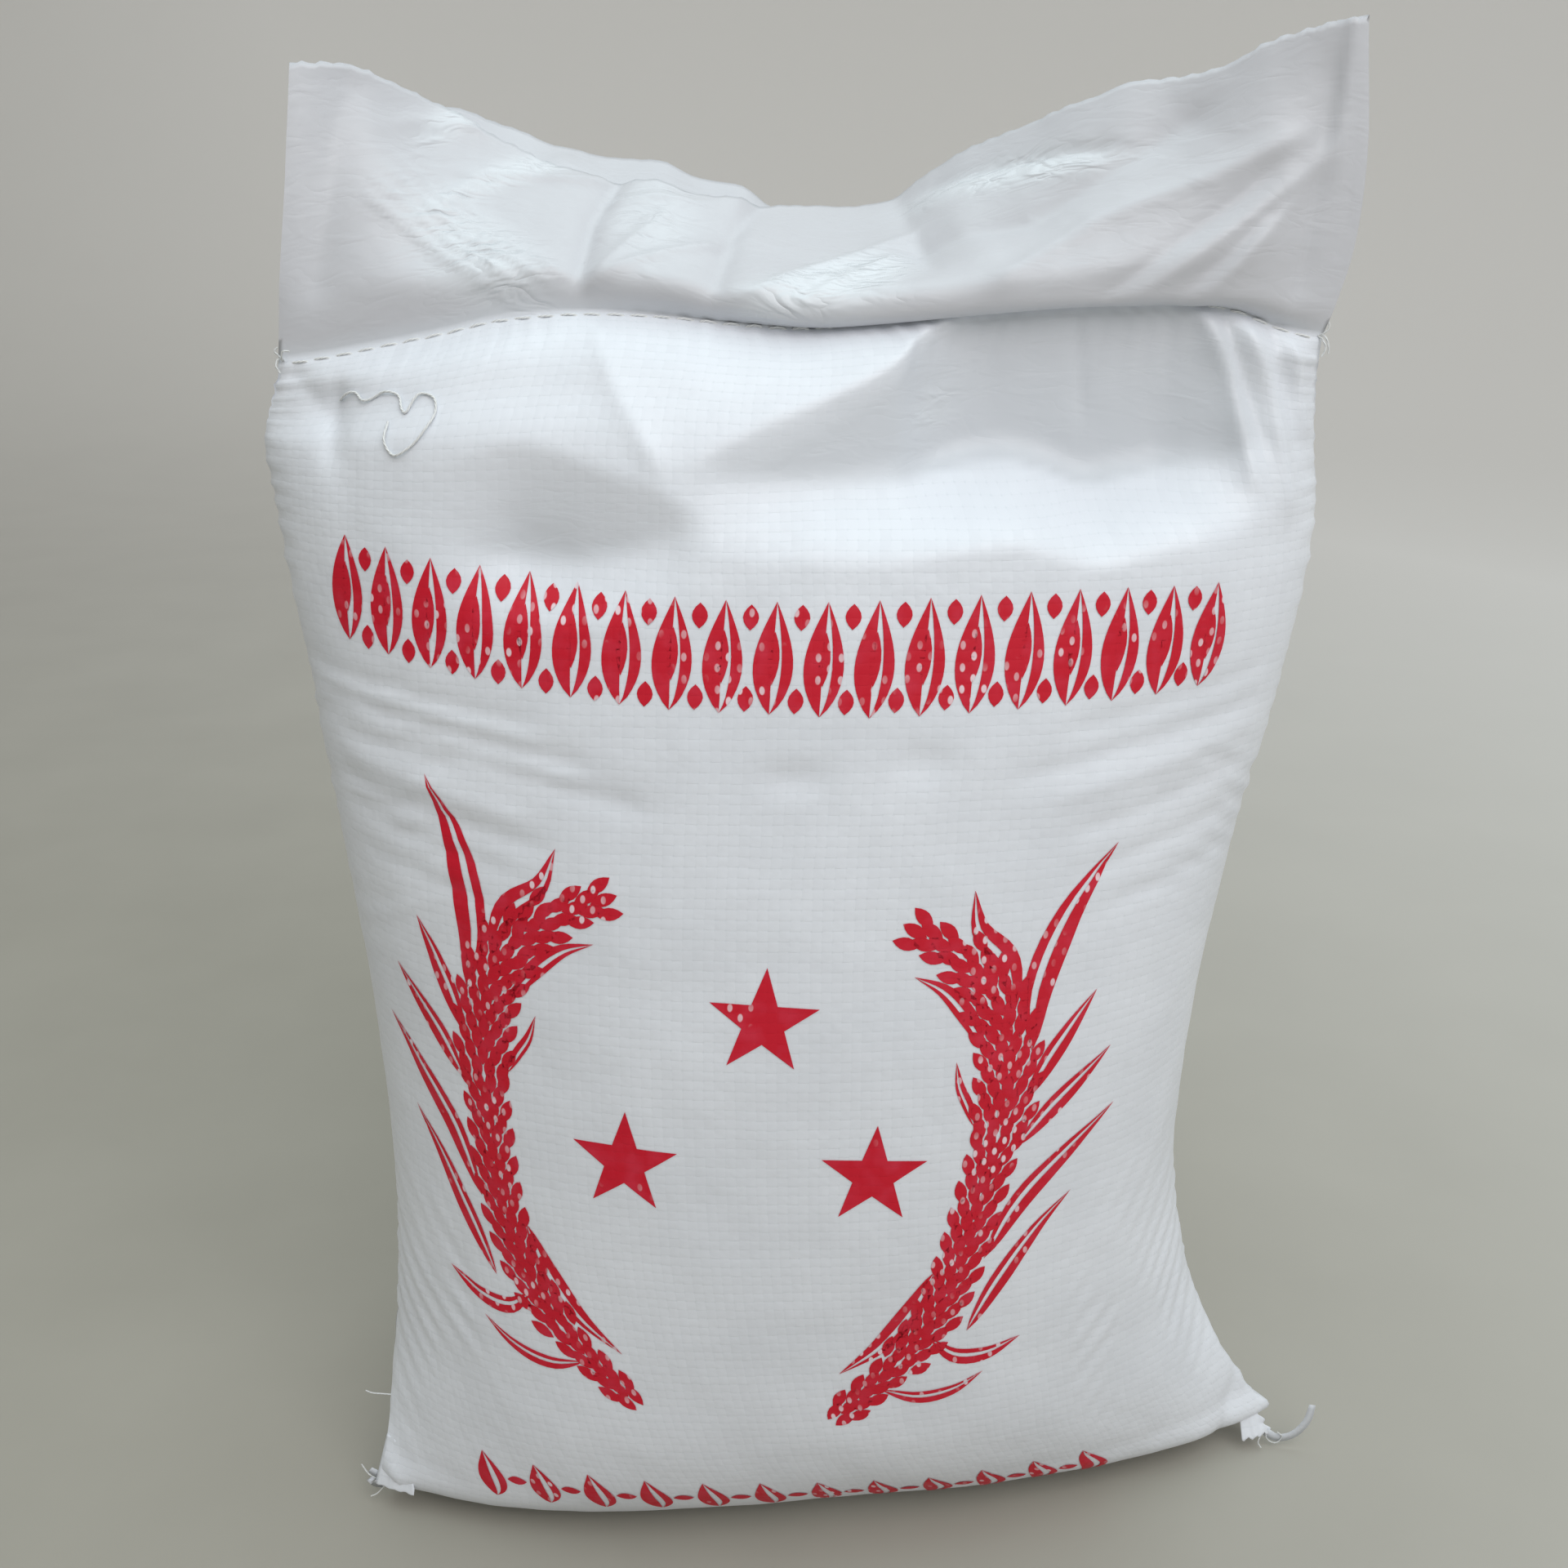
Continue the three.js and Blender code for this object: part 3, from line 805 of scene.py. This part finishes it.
clothMesh, clothPoints, clothHeights, outerRows, seamV = buildSack()
print("sack laid out:", clothPoints.shape[:2], "seam at", round(seamV, 1), "mm of cloth")
outerCloth = wovenPolypropylene("wovenPolypropylene", *weave["outside"])
# The inside's darker colours are partly painted shade.
innerClothShaded = wovenPolypropylene("wovenPolypropyleneInsideShaded", *weave["inside"])
sackPiece = finishPiece("rice_sack", clothMesh, outerCloth, "sack")
sackPiece.data.materials.append(innerClothShaded)

clothNormals = gridNormals(clothPoints)


def onCloth(u, v, lift):
    # The place in metres of a spot of the flat cloth, lifted off it by some millimetres.
    column = float(np.interp(u, columnPlaces, np.arange(len(columnPlaces))))
    row = float(np.interp(v, clothHeights[:outerRows], np.arange(outerRows)))
    c, r = min(int(column), clothPoints.shape[1] - 2), min(int(row), outerRows - 2)
    s, t = column - c, row - r
    shares = np.array([[(1 - s) * (1 - t), s * (1 - t)], [(1 - s) * t, s * t]])[..., None]
    place = (clothPoints[r : r + 2, c : c + 2] * shares).sum((0, 1))
    normal = (clothNormals[r : r + 2, c : c + 2] * shares).sum((0, 1))
    return Vector(place + normal / np.linalg.norm(normal) * lift / 1000)


# The print: places on the flat cloth in millimetres, U from the left side fold and V up from
# the bottom seam.
prints = {
    "inkColor": "#cb0427",
    "thinColor": "#d2324c",
    "bareColor": "#ecd3da",
    "lift": 0.22,
    "stars": ((168.6, 259.2), (124.8, 211.0), (202.9, 207.7)),
    "starRadius": 17.5,
    "starWaist": 0.39,       # share of the radius at its inner corners
    "turn": -3.3,
    "earSpine": ((115, 124), (101, 141), (88, 161), (81, 187), (79, 217), (79, 246), (84, 268),
                 (99, 287), (122, 297)),
    "earHalf": (3.5, 5.5, 6.5, 6, 6.5, 9, 9.5, 7, 3),
    "leafPoints": 15,        # along each edge of a leaf
    "leafInner": (0.05, 0.42),    # how far out its two bare inner edges bulge
    "grainPoints": 7,
    "grainPitch": 4.7,
    "grainGap": 0.55,
    "grainSplay": 0.06,      # radians outward for each mm off the stem
    "mirrorAt": (151, 125),
    "mirrorTurn": 5.4,
    "bandU": (30, 66, 95, 119, 143, 169, 194, 220, 246, 268, 289, 306),
    "bandTop": (403, 396, 392, 388.5, 386.8, 385.7, 386, 387, 388, 388, 387.6, 388),
    "bandLow": (370, 363, 359, 356, 353.9, 353, 351.8, 352.5, 353.5, 354, 355, 356.5),
    "bandCount": 19,
    "bandFan": (2, 170, 140),    # degrees the petals turn outward by, from U 170 to 140 beside it
    "petalWidth": 11.5,
    "heart": (0.95, 3.4),    # share of the petal's half height, and width
    "bead": (7.5, 4.6),
    "beadAt": 0.72,          # share of that half height
    "footU": (44, 104, 150, 206, 240, 274),
    "footMiddle": (81, 78, 74, 69, 69, 68),
    "footCount": 23,
    "lozenge": (21, 10.5),
    "dash": (7.5, 4.0),
}

# Leaves of the left ear: spine points and the width of the blade at its broadest.
leaves = (
    (((74, 262), (77, 282), (73, 306), (62.5, 330)), 10.8),
    (((83, 275), (90, 291), (100, 299), (105, 311)), 8.4),
    (((90, 262), (98, 272), (107, 279), (117, 282)), 6.0),
    (((72, 246), (66, 262), (61, 273), (56, 283)), 6.6),
    (((71, 230), (62, 243), (53, 254), (45, 264)), 6.6),
    (((73, 190), (64, 212), (51, 229), (37, 244)), 7.8),
    (((74, 162), (65, 184), (56, 201), (46, 214)), 6.6),
    (((86, 158), (77, 152), (66, 153), (54, 160)), 6.0),
    (((101, 136), (89, 134), (76, 138), (66, 146)), 4.8),
    (((89, 184), (95, 168), (104, 153), (116, 141)), 7.2),
    (((87, 236), (91, 243), (95, 249), (98, 257)), 3.6),
)


def smoothPath(points, count):
    points = np.array(points, float)
    lengths = runLengths(points)
    wanted = np.linspace(0, lengths[-1], count)
    return np.stack([smoothCurve(lengths, axis)(wanted) for axis in points.T], -1)


def besidePath(path, offsets):
    ahead = np.gradient(path, axis=0)
    ahead = ahead / np.linalg.norm(ahead, axis=1, keepdims=True)
    return path + np.stack([-ahead[:, 1], ahead[:, 0]], -1) * np.array(offsets)[:, None]


def leafShapes(points, width):
    # Two crescents that meet at the tip and the root, with the bare cloth between them.
    path = smoothPath(points, prints["leafPoints"])
    share = np.linspace(0, 1, prints["leafPoints"])
    bulge = np.sin(math.pi * share**0.8)
    shapes = []
    for side, inner in zip((1, -1), prints["leafInner"]):
        outer = besidePath(path, side * width / 2 * bulge)
        inside = besidePath(path, side * width / 2 * bulge * inner)
        shapes.append(np.concatenate([outer, inside[1:-1][::-1]])[::side])
    return shapes


def grainShape(middle, angle, length, width):
    share = np.linspace(0, 1, prints["grainPoints"])
    bulge = np.sin(math.pi * share) ** 0.85 * width / 2
    along = (share - 0.5) * length
    upper = np.stack([along, bulge], -1)
    outline = np.concatenate([upper, np.stack([along[1:-1][::-1], -bulge[1:-1]], -1)])
    turn = np.array([[math.cos(angle), math.sin(angle)], [-math.sin(angle), math.cos(angle)]])
    return outline @ turn + np.array(middle)


def starShape(middle, radius, turn):
    angles = math.radians(90 + turn) + np.arange(10) * math.pi / 5
    reach = np.where(np.arange(10) % 2 == 0, radius, radius * prints["starWaist"])
    return np.stack([np.cos(angles) * reach, np.sin(angles) * reach], -1) + np.array(middle)


def earShapes():
    # An ear of rice: pointed grains laid like scales along a curved stem, with leaves.
    pitch, gap = prints["grainPitch"], prints["grainGap"]
    path = smoothPath(prints["earSpine"], 400)
    lengths = runLengths(path)
    half = smoothCurve(np.linspace(0, 1, len(prints["earHalf"])), prints["earHalf"])
    ahead = np.gradient(path, axis=0)
    shapes = []
    for row in range(int(lengths[-1] / pitch) + 1):
        spot = int(np.searchsorted(lengths, min(row * pitch, lengths[-1])))
        spot = min(spot, len(path) - 1)
        angle = math.atan2(ahead[spot][1], ahead[spot][0])
        wide = float(half(row * pitch / lengths[-1]))
        count = max(2, round(2 * wide / pitch)) + row % 2
        for place in range(count):
            aside = (place - (count - 1) / 2) * pitch
            middle = path[spot] + aside * np.array([-math.sin(angle), math.cos(angle)])
            splay = angle + prints["grainSplay"] * aside
            shapes.append(grainShape(middle, splay, 2 * pitch - gap, pitch - gap))
    for points, width in leaves:
        shapes.extend(leafShapes(points, width))
    return shapes


def mirrored(shape):
    angle = math.radians(prints["mirrorTurn"])
    axis = np.array([math.sin(angle), math.cos(angle)])
    offset = shape - np.array(prints["mirrorAt"])
    along = offset @ axis
    return (np.array(prints["mirrorAt"]) + 2 * along[:, None] * axis - offset)[::-1]


def rowPlaces(placesU, count):
    # Even places along a row, and their step.
    step = (placesU[-1] - placesU[0]) / count
    return [placesU[0] + (index + 0.5) * step for index in range(count)], step


def bandShapes():
    # Upright petals in a row, each with a bare rim and a solid heart, and beads between them.
    top = smoothCurve(prints["bandU"], prints["bandTop"])
    low = smoothCurve(prints["bandU"], prints["bandLow"])
    places, step = rowPlaces(prints["bandU"], prints["bandCount"])
    fan, centre, reach = prints["bandFan"]
    shapes = []
    for index, u in enumerate(places):
        upper, lower = float(top(u)), float(low(u))
        lean = math.radians(prints["turn"] - fan * (u - centre) / reach)
        tilt = np.array([math.sin(-lean), math.cos(lean)])
        middle = np.array([u, (upper + lower) / 2])
        high = (upper - lower) / 2
        spine = [middle + tilt * high * share for share in (-1, -0.4, 0.3, 1)]
        shapes.extend(leafShapes(spine, prints["petalWidth"]))
        share, width = prints["heart"]
        shapes.append(grainShape(middle, math.pi / 2 + lean, high * share, width))
        if index:
            for share in (-prints["beadAt"], prints["beadAt"]):
                spot = middle - np.array([step / 2, 0]) + tilt * high * share
                shapes.append(grainShape(spot, math.pi / 2 + lean, *prints["bead"]))
    return shapes


def footShapes():
    # Small lozenges in a row, with a dash between each two.
    middle = smoothCurve(prints["footU"], prints["footMiddle"])
    high, width = prints["lozenge"]
    shapes = []
    for index, u in enumerate(rowPlaces(prints["footU"], prints["footCount"])[0]):
        v = float(middle(u))
        if index % 2:
            shapes.append(grainShape((u, v), 0, *prints["dash"]))
        else:
            spine = [(u, v + high * share) for share in (-0.5, -0.2, 0.2, 0.5)]
            shapes.extend(leafShapes(spine, width))
    return shapes


def printPiece(name, shapes, material):
    # Each outline is filled, cut along the cloth's own grid lines and laid on the cloth.
    mesh = bmesh.new()
    uvMap = mesh.loops.layers.uv.new("cloth")
    for shape in shapes:
        mesh.faces.new([mesh.verts.new((u, v, 0)) for u, v in shape])
    mesh.normal_update()
    for face in mesh.faces:
        if face.normal.z < 0:
            face.normal_flip()
    bmesh.ops.triangulate(mesh, faces=mesh.faces, ngon_method="EAR_CLIP")
    corners = np.concatenate(shapes)
    for axis, lines in enumerate((frontPlaces, clothHeights[:outerRows])):
        normal = Vector((axis == 0, axis == 1, 0))
        for place in lines:
            if corners[:, axis].min() < place < corners[:, axis].max():
                everything = mesh.verts[:] + mesh.edges[:] + mesh.faces[:]
                bmesh.ops.bisect_plane(
                    mesh, geom=everything, dist=1e-4, plane_co=normal * place, plane_no=normal)
    bmesh.ops.remove_doubles(mesh, verts=mesh.verts, dist=0.02)
    smoothFaces(mesh, uvMap, lambda vert: (vert.co.x / 1000, vert.co.y / 1000))
    for vert in mesh.verts:
        vert.co = onCloth(vert.co.x, vert.co.y, prints["lift"])
    return finishPiece(name, mesh, material)


def printedInk(name, missFrom):
    # Flexographic ink on woven tapes: one flat red that misses some of the weft's crossings, so
    # the field is broken by small pale ovals in step with the weave.
    material, add = newMaterial(name)
    laid = layWeave(add)
    flat = laid["flat"]
    patches = add("TexNoise", {"Vector": flat, "Scale": 48.0, "Detail": 1.0})    # 21 mm
    cell = add("CombineXYZ", {0: laid["column"], 1: laid["row"]})
    chance = add("TexWhiteNoise", {"Vector": cell}, noise_dimensions="2D")
    missed = add("Math", {0: chance, 1: 0.22, 2: patches}, operation="MULTIPLY_ADD")
    missed = add("MapRange", {0: missed, 1: missFrom, 2: missFrom + 0.2})
    bare = add("Math", {0: laid["spot"], 1: missed}, operation="MULTIPLY")
    thin = add("TexNoise", {"Vector": flat, "Scale": 120.0, "Detail": 2.0})    # 8 mm
    thin = add("MapRange", {0: thin, 1: 0.45, 2: 0.8, 4: 0.7})
    ink = add("Mix", {0: thin, 6: prints["inkColor"], 7: prints["thinColor"]}, data_type="RGBA")
    color = add("Mix", {0: bare, 6: ink, 7: prints["bareColor"]}, data_type="RGBA")
    bump = add("Bump", {"Height": laid["height"], "Strength": 1.0, "Distance": weave["relief"]})
    rough = add("MapRange", {0: laid["tape"], 3: 0.42, 4: 0.55})
    shader = add("BsdfPrincipled", {
        "Base Color": color, "Roughness": rough, "IOR": 1.42, "Normal": bump})
    add("OutputMaterial", {"Surface": shader})
    return material


ink = printedInk("flexoInkOnWovenTape", 0.6)
denseInk = printedInk("denseFlexoInkOnWovenTape", 0.74)
leftEar = earShapes()
stars = [starShape(spot, prints["starRadius"], prints["turn"]) for spot in prints["stars"]]
printPiece("print_band", bandShapes(), ink)
printPiece("print_foot", footShapes(), ink)
printPiece("print_stars", stars, denseInk)
printPiece("print_ear_left", leftEar, ink)
printPiece("print_ear_right", [mirrored(shape) for shape in leftEar], ink)
print("print laid on the cloth")

# Sewing thread: the closing stitches and the loose end below them.
thread = {
    "radius": 0.4,
    "stitch": 7.6,
    "stitchGap": 1.3,
    "stitchFrom": (5, 342),      # U on the front
    "stitchWander": 0.5,
    "stitchLifts": (-0.5, 0.1, 0.3, 0.35, 0.3, 0.1, -0.5),    # over the cloth along a stitch
    "loopFrom": (356, 688),      # U on the back
    "loop": (4.4, 1.1),          # half length and half height of a loop of the chain
    "loopAhead": 4.6,
    "below": 1.6,                # mm of cloth between the stitches and the foot of the collar
    "ply": 1.7,                  # mm for one turn of its strands
    "tail": ((26.3, 452), (32.3, 455.5), (38.5, 450.2), (44.1, 453), (49, 451.5), (55.2, 443.2),
             (57.4, 450), (63.4, 447), (65.3, 441), (61.5, 434.1), (55.2, 430.4), (52.2, 433.5),
             (50.5, 440.5)),
    "tailLift": (0.45, 0.5, 9),    # least, more of it at each crest, and how many crests
    "color": "#eceeee",
    "shadeColor": "#d2d5d6",
}


def twistedThread():
    # Spun polyester sewing thread: a few strands twisted together, matt and a little fuzzy.
    material, add = newMaterial("spunPolyesterThread")
    along, around = add("SeparateXYZ", {0: add("UVMap", uv_map="strand")}).outputs[:2]
    turn = add("Math", {0: around, 1: 3.0, 2: along}, operation="MULTIPLY_ADD")
    turn = add("Math", {0: turn, 1: 2 * math.pi}, operation="MULTIPLY")
    strand = add("Math", {0: turn}, operation="SINE")
    shade = add("MapRange", {0: strand, 1: -1.0, 2: 0.2})
    color = add("Mix", {0: shade, 6: thread["shadeColor"], 7: thread["color"]}, data_type="RGBA")
    bump = add("Bump", {"Height": strand, "Strength": 0.6, "Distance": 0.0001})
    shader = add("BsdfPrincipled", {
        "Base Color": color, "Roughness": 0.7, "IOR": 1.54, "Normal": bump,
        "Sheen Weight": 0.3, "Sheen Roughness": 0.4})
    add("OutputMaterial", {"Surface": shader})
    return material


def threadPiece(name, runs, radius, material, replaced=None):
    # Runs of points in metres become round threads with closed ends.
    curve = bpy.data.curves.new(name, "CURVE")
    curve.dimensions = "3D"
    curve.bevel_depth = radius / 1000
    curve.bevel_resolution = 1
    curve.use_fill_caps = True
    for run in runs:
        spline = curve.splines.new("POLY")
        spline.points.add(len(run) - 1)
        spline.points.foreach_set("co", np.concatenate([run, np.ones((len(run), 1))], 1).ravel())
    source = addObject(name + "_curve", curve)
    shown = source.evaluated_get(bpy.context.evaluated_depsgraph_get())
    mesh = bmesh.new()
    mesh.from_mesh(bpy.data.meshes.new_from_object(shown))
    uvMap = mesh.loops.layers.uv.verify()
    for face in mesh.faces:
        for loop in face.loops:
            loop[uvMap].uv[0] *= runLengths(runs[0])[-1] * 1000 / thread["ply"]
    piece = finishPiece(name, mesh, material, replaced)
    piece.data.uv_layers[0].name = "strand"
    bpy.data.objects.remove(source)


def stitchRuns():
    # Straight stitches along the front of the seam and a chain of loops along its back.
    runs = []
    level = seamV - thread["below"]
    lifts = thread["stitchLifts"]
    reach = thread["stitch"] - thread["stitchGap"]
    for start in np.arange(*thread["stitchFrom"], thread["stitch"]):
        wander = thread["stitchWander"] * math.sin(start * 0.9)
        run = []
        for share, lift in zip(np.linspace(0, 1, len(lifts)), lifts):
            run.append(onCloth(start + share * reach, level + wander * share, lift))
        runs.append(run)
    long, high = thread["loop"]
    for start in np.arange(*thread["loopFrom"], thread["stitch"]):
        run = []
        for angle in np.linspace(-0.9 * math.pi, 0.9 * math.pi, 11):
            u = start + thread["loopAhead"] + long * math.cos(angle)
            lift = 0.3 + 0.7 * (1 - abs(angle) / math.pi)
            run.append(onCloth(u, level + high * math.sin(angle), lift))
        runs.append(run)
    return runs


def tailRun():
    path = smoothPath(thread["tail"], 110)
    least, more, crests = thread["tailLift"]
    lifts = least + more * np.sin(np.linspace(0, crests * math.pi, len(path))) ** 2
    return [onCloth(u, v, lift) for (u, v), lift in zip(path, lifts)]


# Short loose ends: where they start, and the steps in millimetres by which each curls away.
ends = {
    "starts": {
        "leftFoot": onCloth(1.5, 58, 0),
        "leftSide": onCloth(0.5, 92, 0),
        "rightFoot": Vector((0.1690, -0.0195, 0.0065)),
        "leftSeam": onCloth(2, seamV, 0),
        "rightSeam": onCloth(348.5, seamV, 0),
    },
    "count": 14,             # points along each
    "frayRadius": 0.24,
    "frays": (
        ("leftFoot", (-3, -1, 0), (-4, 0, 2), (-3, 1, 4)),
        ("leftFoot", (-2, -1.5, -2), (-3, -1, -3), (-2, 0, -1)),
        ("leftSide", (-3, 0, 0.3), (-4, 0, 0.5), (-2, 0, 1)),
        ("rightFoot", (1, -1, -3), (3, -0.5, -1), (2, 0, 3), (-2, 0, 2)),
        ("rightFoot", (-2, -1.5, -1), (-1, -1, -2), (1, -1, -1.5)),
    ),
    "tapeWidth": 3.4,
    "tapeThick": 0.12,
    "tapes": (
        ("rightFoot", (4, -1, -2), (5.5, -0.5, 1.5), (5, 0, 6.5), (1.5, 0.5, 7)),
        ("leftFoot", (-3, -0.5, 1), (-4, 0, 3)),
        ("leftFoot", (-2, -1.5, -1), (-3, -1, 1), (-2, 0, 2)),
    ),
    "threadRadius": 0.28,
    "threads": (
        ("leftSeam", (-1, -1.5, 1.5), (-1, -0.5, 1.5), (1, 0, 1)),
        ("leftSeam", (-1.5, -1, 0.5), (-0.5, -1, -2), (1, 0, -2)),
        ("leftSeam", (0, -2, 1), (1, -1.5, 2), (2, 0, 0)),
        ("rightSeam", (1, -1, 0.5), (1.5, -0.5, 1.5), (0, 0, 2)),
        ("rightSeam", (1, -1.5, -1), (1, -1, -2.5), (-1, 0, -2.5)),
        ("rightSeam", (1.5, -1.5, 0), (1, -1, -2), (0.5, 0, -3)),
    ),
}


def looseRuns(kind):
    runs = []
    for start, *bends in ends[kind]:
        places = [np.array(ends["starts"][start])]
        for bend in bends:
            places.append(places[-1] + np.array(bend) / 1000)
        runs.append([Vector(place) for place in smoothPath(places, ends["count"])])
    return runs


def tapePiece(name, runs, material):
    # Flat tapes pulled out of the weave, narrower towards their ends.
    mesh = bmesh.new()
    uvMap = mesh.loops.layers.uv.new("cloth")
    for run in runs:
        path = np.array(run)
        half = ends["tapeWidth"] / 2000 * (1 - 0.3 * np.linspace(0, 1, len(path)) ** 3)
        rims = [besidePath(path[:, ::2], side * half) for side in (-1, 1)]
        made = bmesh.ops.create_grid(mesh, x_segments=len(path) - 1, y_segments=1, size=1)["verts"]
        for index, vert in enumerate(made):
            side, place = divmod(index, len(path))
            x, z = rims[side][place]
            vert.co = (x, path[place][1], z)
    smoothFaces(mesh, uvMap, lambda vert: vert.co.xz)
    bmesh.ops.solidify(mesh, geom=mesh.faces[:], thickness=ends["tapeThick"] / 1000)
    finishPiece(name, mesh, material)


# The bag's lower corners, pressed flat: upper left, upper right, lower left and lower right
# corner of each flap, the depth of its folds and how ragged its end is.
flaps = {
    "right": ((169, -17, 20), (176, -18, 15), (170, -25, 6), (182, -21, 6), 0.8, 0.8),
    "left": ((-141, -44.5, 27), (-133, -49.5, 25), (-145.5, -49.5, 9.5), (-130, -56, 10), 0.5, 0.3),
    "grid": (14, 20),
    "thick": 0.3,
    "least": 0.4,            # mm over the floor
}


def earPiece(name, material):
    mesh = bmesh.new()
    uvMap = mesh.loops.layers.uv.new("cloth")
    wide, high = flaps["grid"]
    for *corners, fold, ragged in (flaps["right"], flaps["left"]):
        topLeft, topRight, lowLeft, lowRight = np.array(corners, float)
        made = bmesh.ops.create_grid(mesh, x_segments=wide, y_segments=high, size=1)["verts"]
        for index, vert in enumerate(made):
            s, t = index % (wide + 1) / wide, index // (wide + 1) / high
            top, low = (1 - s) * topLeft + s * topRight, (1 - s) * lowLeft + s * lowRight
            place = (1 - t) * top + t * low
            crest, valley = math.exp(-abs(s - 0.45) / 0.16), 0.6 * math.exp(-abs(s - 0.8) / 0.1)
            place[1] -= fold * (crest - valley)
            place[2] = max(place[2] - ragged * t**6 * math.sin(s * 23), flaps["least"])
            place[0] += ragged * s**6 * math.sin(t * 17)
            place[:2] -= sack["boxMiddle"]
            vert.co = place / 1000
    smoothFaces(mesh, uvMap, lambda vert: vert.co.xz)
    bmesh.ops.solidify(mesh, geom=mesh.faces[:], thickness=flaps["thick"] / 1000)
    backed = mesh.verts.layers.float.new("filled")
    for vert in mesh.verts:
        vert[backed] = 1.0
    finishPiece(name, mesh, material)


sewing = twistedThread()
threadPiece("closing_stitches", stitchRuns(), thread["radius"], sewing, "closing_stitch")
threadPiece("loose_thread", [tailRun()], thread["radius"], sewing, "thread_tail")
earPiece("corner_ears", outerCloth)
threadPiece("corner_frays", looseRuns("frays"), ends["frayRadius"], sewing)
tapePiece("loose_tapes", looseRuns("tapes"), innerClothShaded)
threadPiece("stitch_ends", looseRuns("threads"), ends["threadRadius"], sewing)
print("threads sewn")

# Plain pale floor that sweeps up far behind, one wide soft light overhead and one in front.
stage = {
    "floorColor": "#9b988e",
    "floorLight": "#a8a59b",
    "airColor": "#c1c1be",
    # Painted light: the paler colour that the floor and sweep turn to far out and towards the
    # right.
    "farPaintedLight": "#ebeae8",
    "sweep": ((0, 0), (1.3, 0), (2.4, 0), (2.9, 0.08), (3.3, 0.32), (3.5, 0.7), (3.55, 1.15)),
    # Each light: power, colour, size, place and turn in degrees.
    "overhead": (8.9, (0.84, 1.04, 1.08), 1.5, (0.15, 0.02, 1.7), (-1, 5, 0)),
    "front": (17.4, (1.0, 0.97, 0.99), 1.6, (0.62, -1.3, 1.75), (43.8, 0, 25.5)),
}


def paintedFloor():
    # Matt painted board: almost even, with a faint mottle left by the roller, and painted light
    # that turns it paler further out and towards the right.
    material, add = newMaterial("mattPaintedBoard")
    place = add("TexCoord").outputs["Object"]
    mottle = add("TexNoise", {"Vector": place, "Scale": 9.0, "Detail": 4.0})    # 110 mm
    board = {6: stage["floorColor"], 7: stage["floorLight"]}
    board = add("Mix", {0: mottle, **board}, data_type="RGBA")
    # Painted light: paler with distance, and sooner towards the right.
    reach = add("VectorMath", {0: place}, operation="LENGTH")
    beside = add("SeparateXYZ", {0: place})
    reach = add("Math", {0: beside, 1: 0.9, 2: reach}, operation="MULTIPLY_ADD")
    paintedLight = add("MapRange", {0: reach, 1: 0.2, 2: 2.6})
    color = add("Mix", {0: paintedLight, 6: board, 7: stage["farPaintedLight"]}, data_type="RGBA")
    bump = add("Bump", {"Height": mottle, "Strength": 0.1, "Distance": 0.001})
    shader = add("BsdfPrincipled", {"Base Color": color, "Roughness": 0.6, "Normal": bump})
    add("OutputMaterial", {"Surface": shader})
    return material


def buildStage():
    mesh = bmesh.new()
    rail = [mesh.verts.new((reach, 0, rise)) for reach, rise in smoothPath(stage["sweep"], 40)]
    edges = [mesh.edges.new(pair) for pair in zip(rail, rail[1:])]
    bmesh.ops.spin(mesh, geom=rail + edges, axis=(0, 0, 1), cent=(0, 0, 0), steps=96,
                   angle=2 * math.pi, use_merge=True)
    bmesh.ops.remove_doubles(mesh, verts=mesh.verts, dist=1e-5)
    bmesh.ops.recalc_face_normals(mesh, faces=mesh.faces)
    for face in mesh.faces:
        face.smooth = True
    meshObject("floor", mesh, paintedFloor())
    world = bpy.data.worlds.new("room")
    world.use_nodes = True
    air = world.node_tree.nodes["Background"]
    air.inputs["Color"].default_value = linearColor(stage["airColor"])
    bpy.context.scene.world = world
    for name in ("overhead", "front"):
        light = bpy.data.lights.new(name, "AREA")
        light.energy, light.color, light.size, place, turn = stage[name]
        lamp = addObject(name, light)
        lamp.location = place
        lamp.rotation_euler = [math.radians(angle) for angle in turn]
    bpy.context.scene.view_settings.view_transform = "Standard"


# Half a metre off and looking 20 degrees down, as the photograph does.
view = {"sensor": 36.0, "lens": 36.34, "nearest": 0.02, "y": -0.4925, "z": 0.436, "down": 20}


def buildCamera():
    camera = bpy.data.cameras.new("camera")
    camera.sensor_width = view["sensor"]
    camera.lens = view["lens"]
    camera.clip_start = view["nearest"]
    eye = addObject("camera", camera)
    eye.location = (-sack["boxMiddle"][0] / 1000, view["y"], view["z"])
    eye.rotation_euler = (math.radians(90 - view["down"]), 0, 0)
    bpy.context.scene.camera = eye


buildStage()
buildCamera()
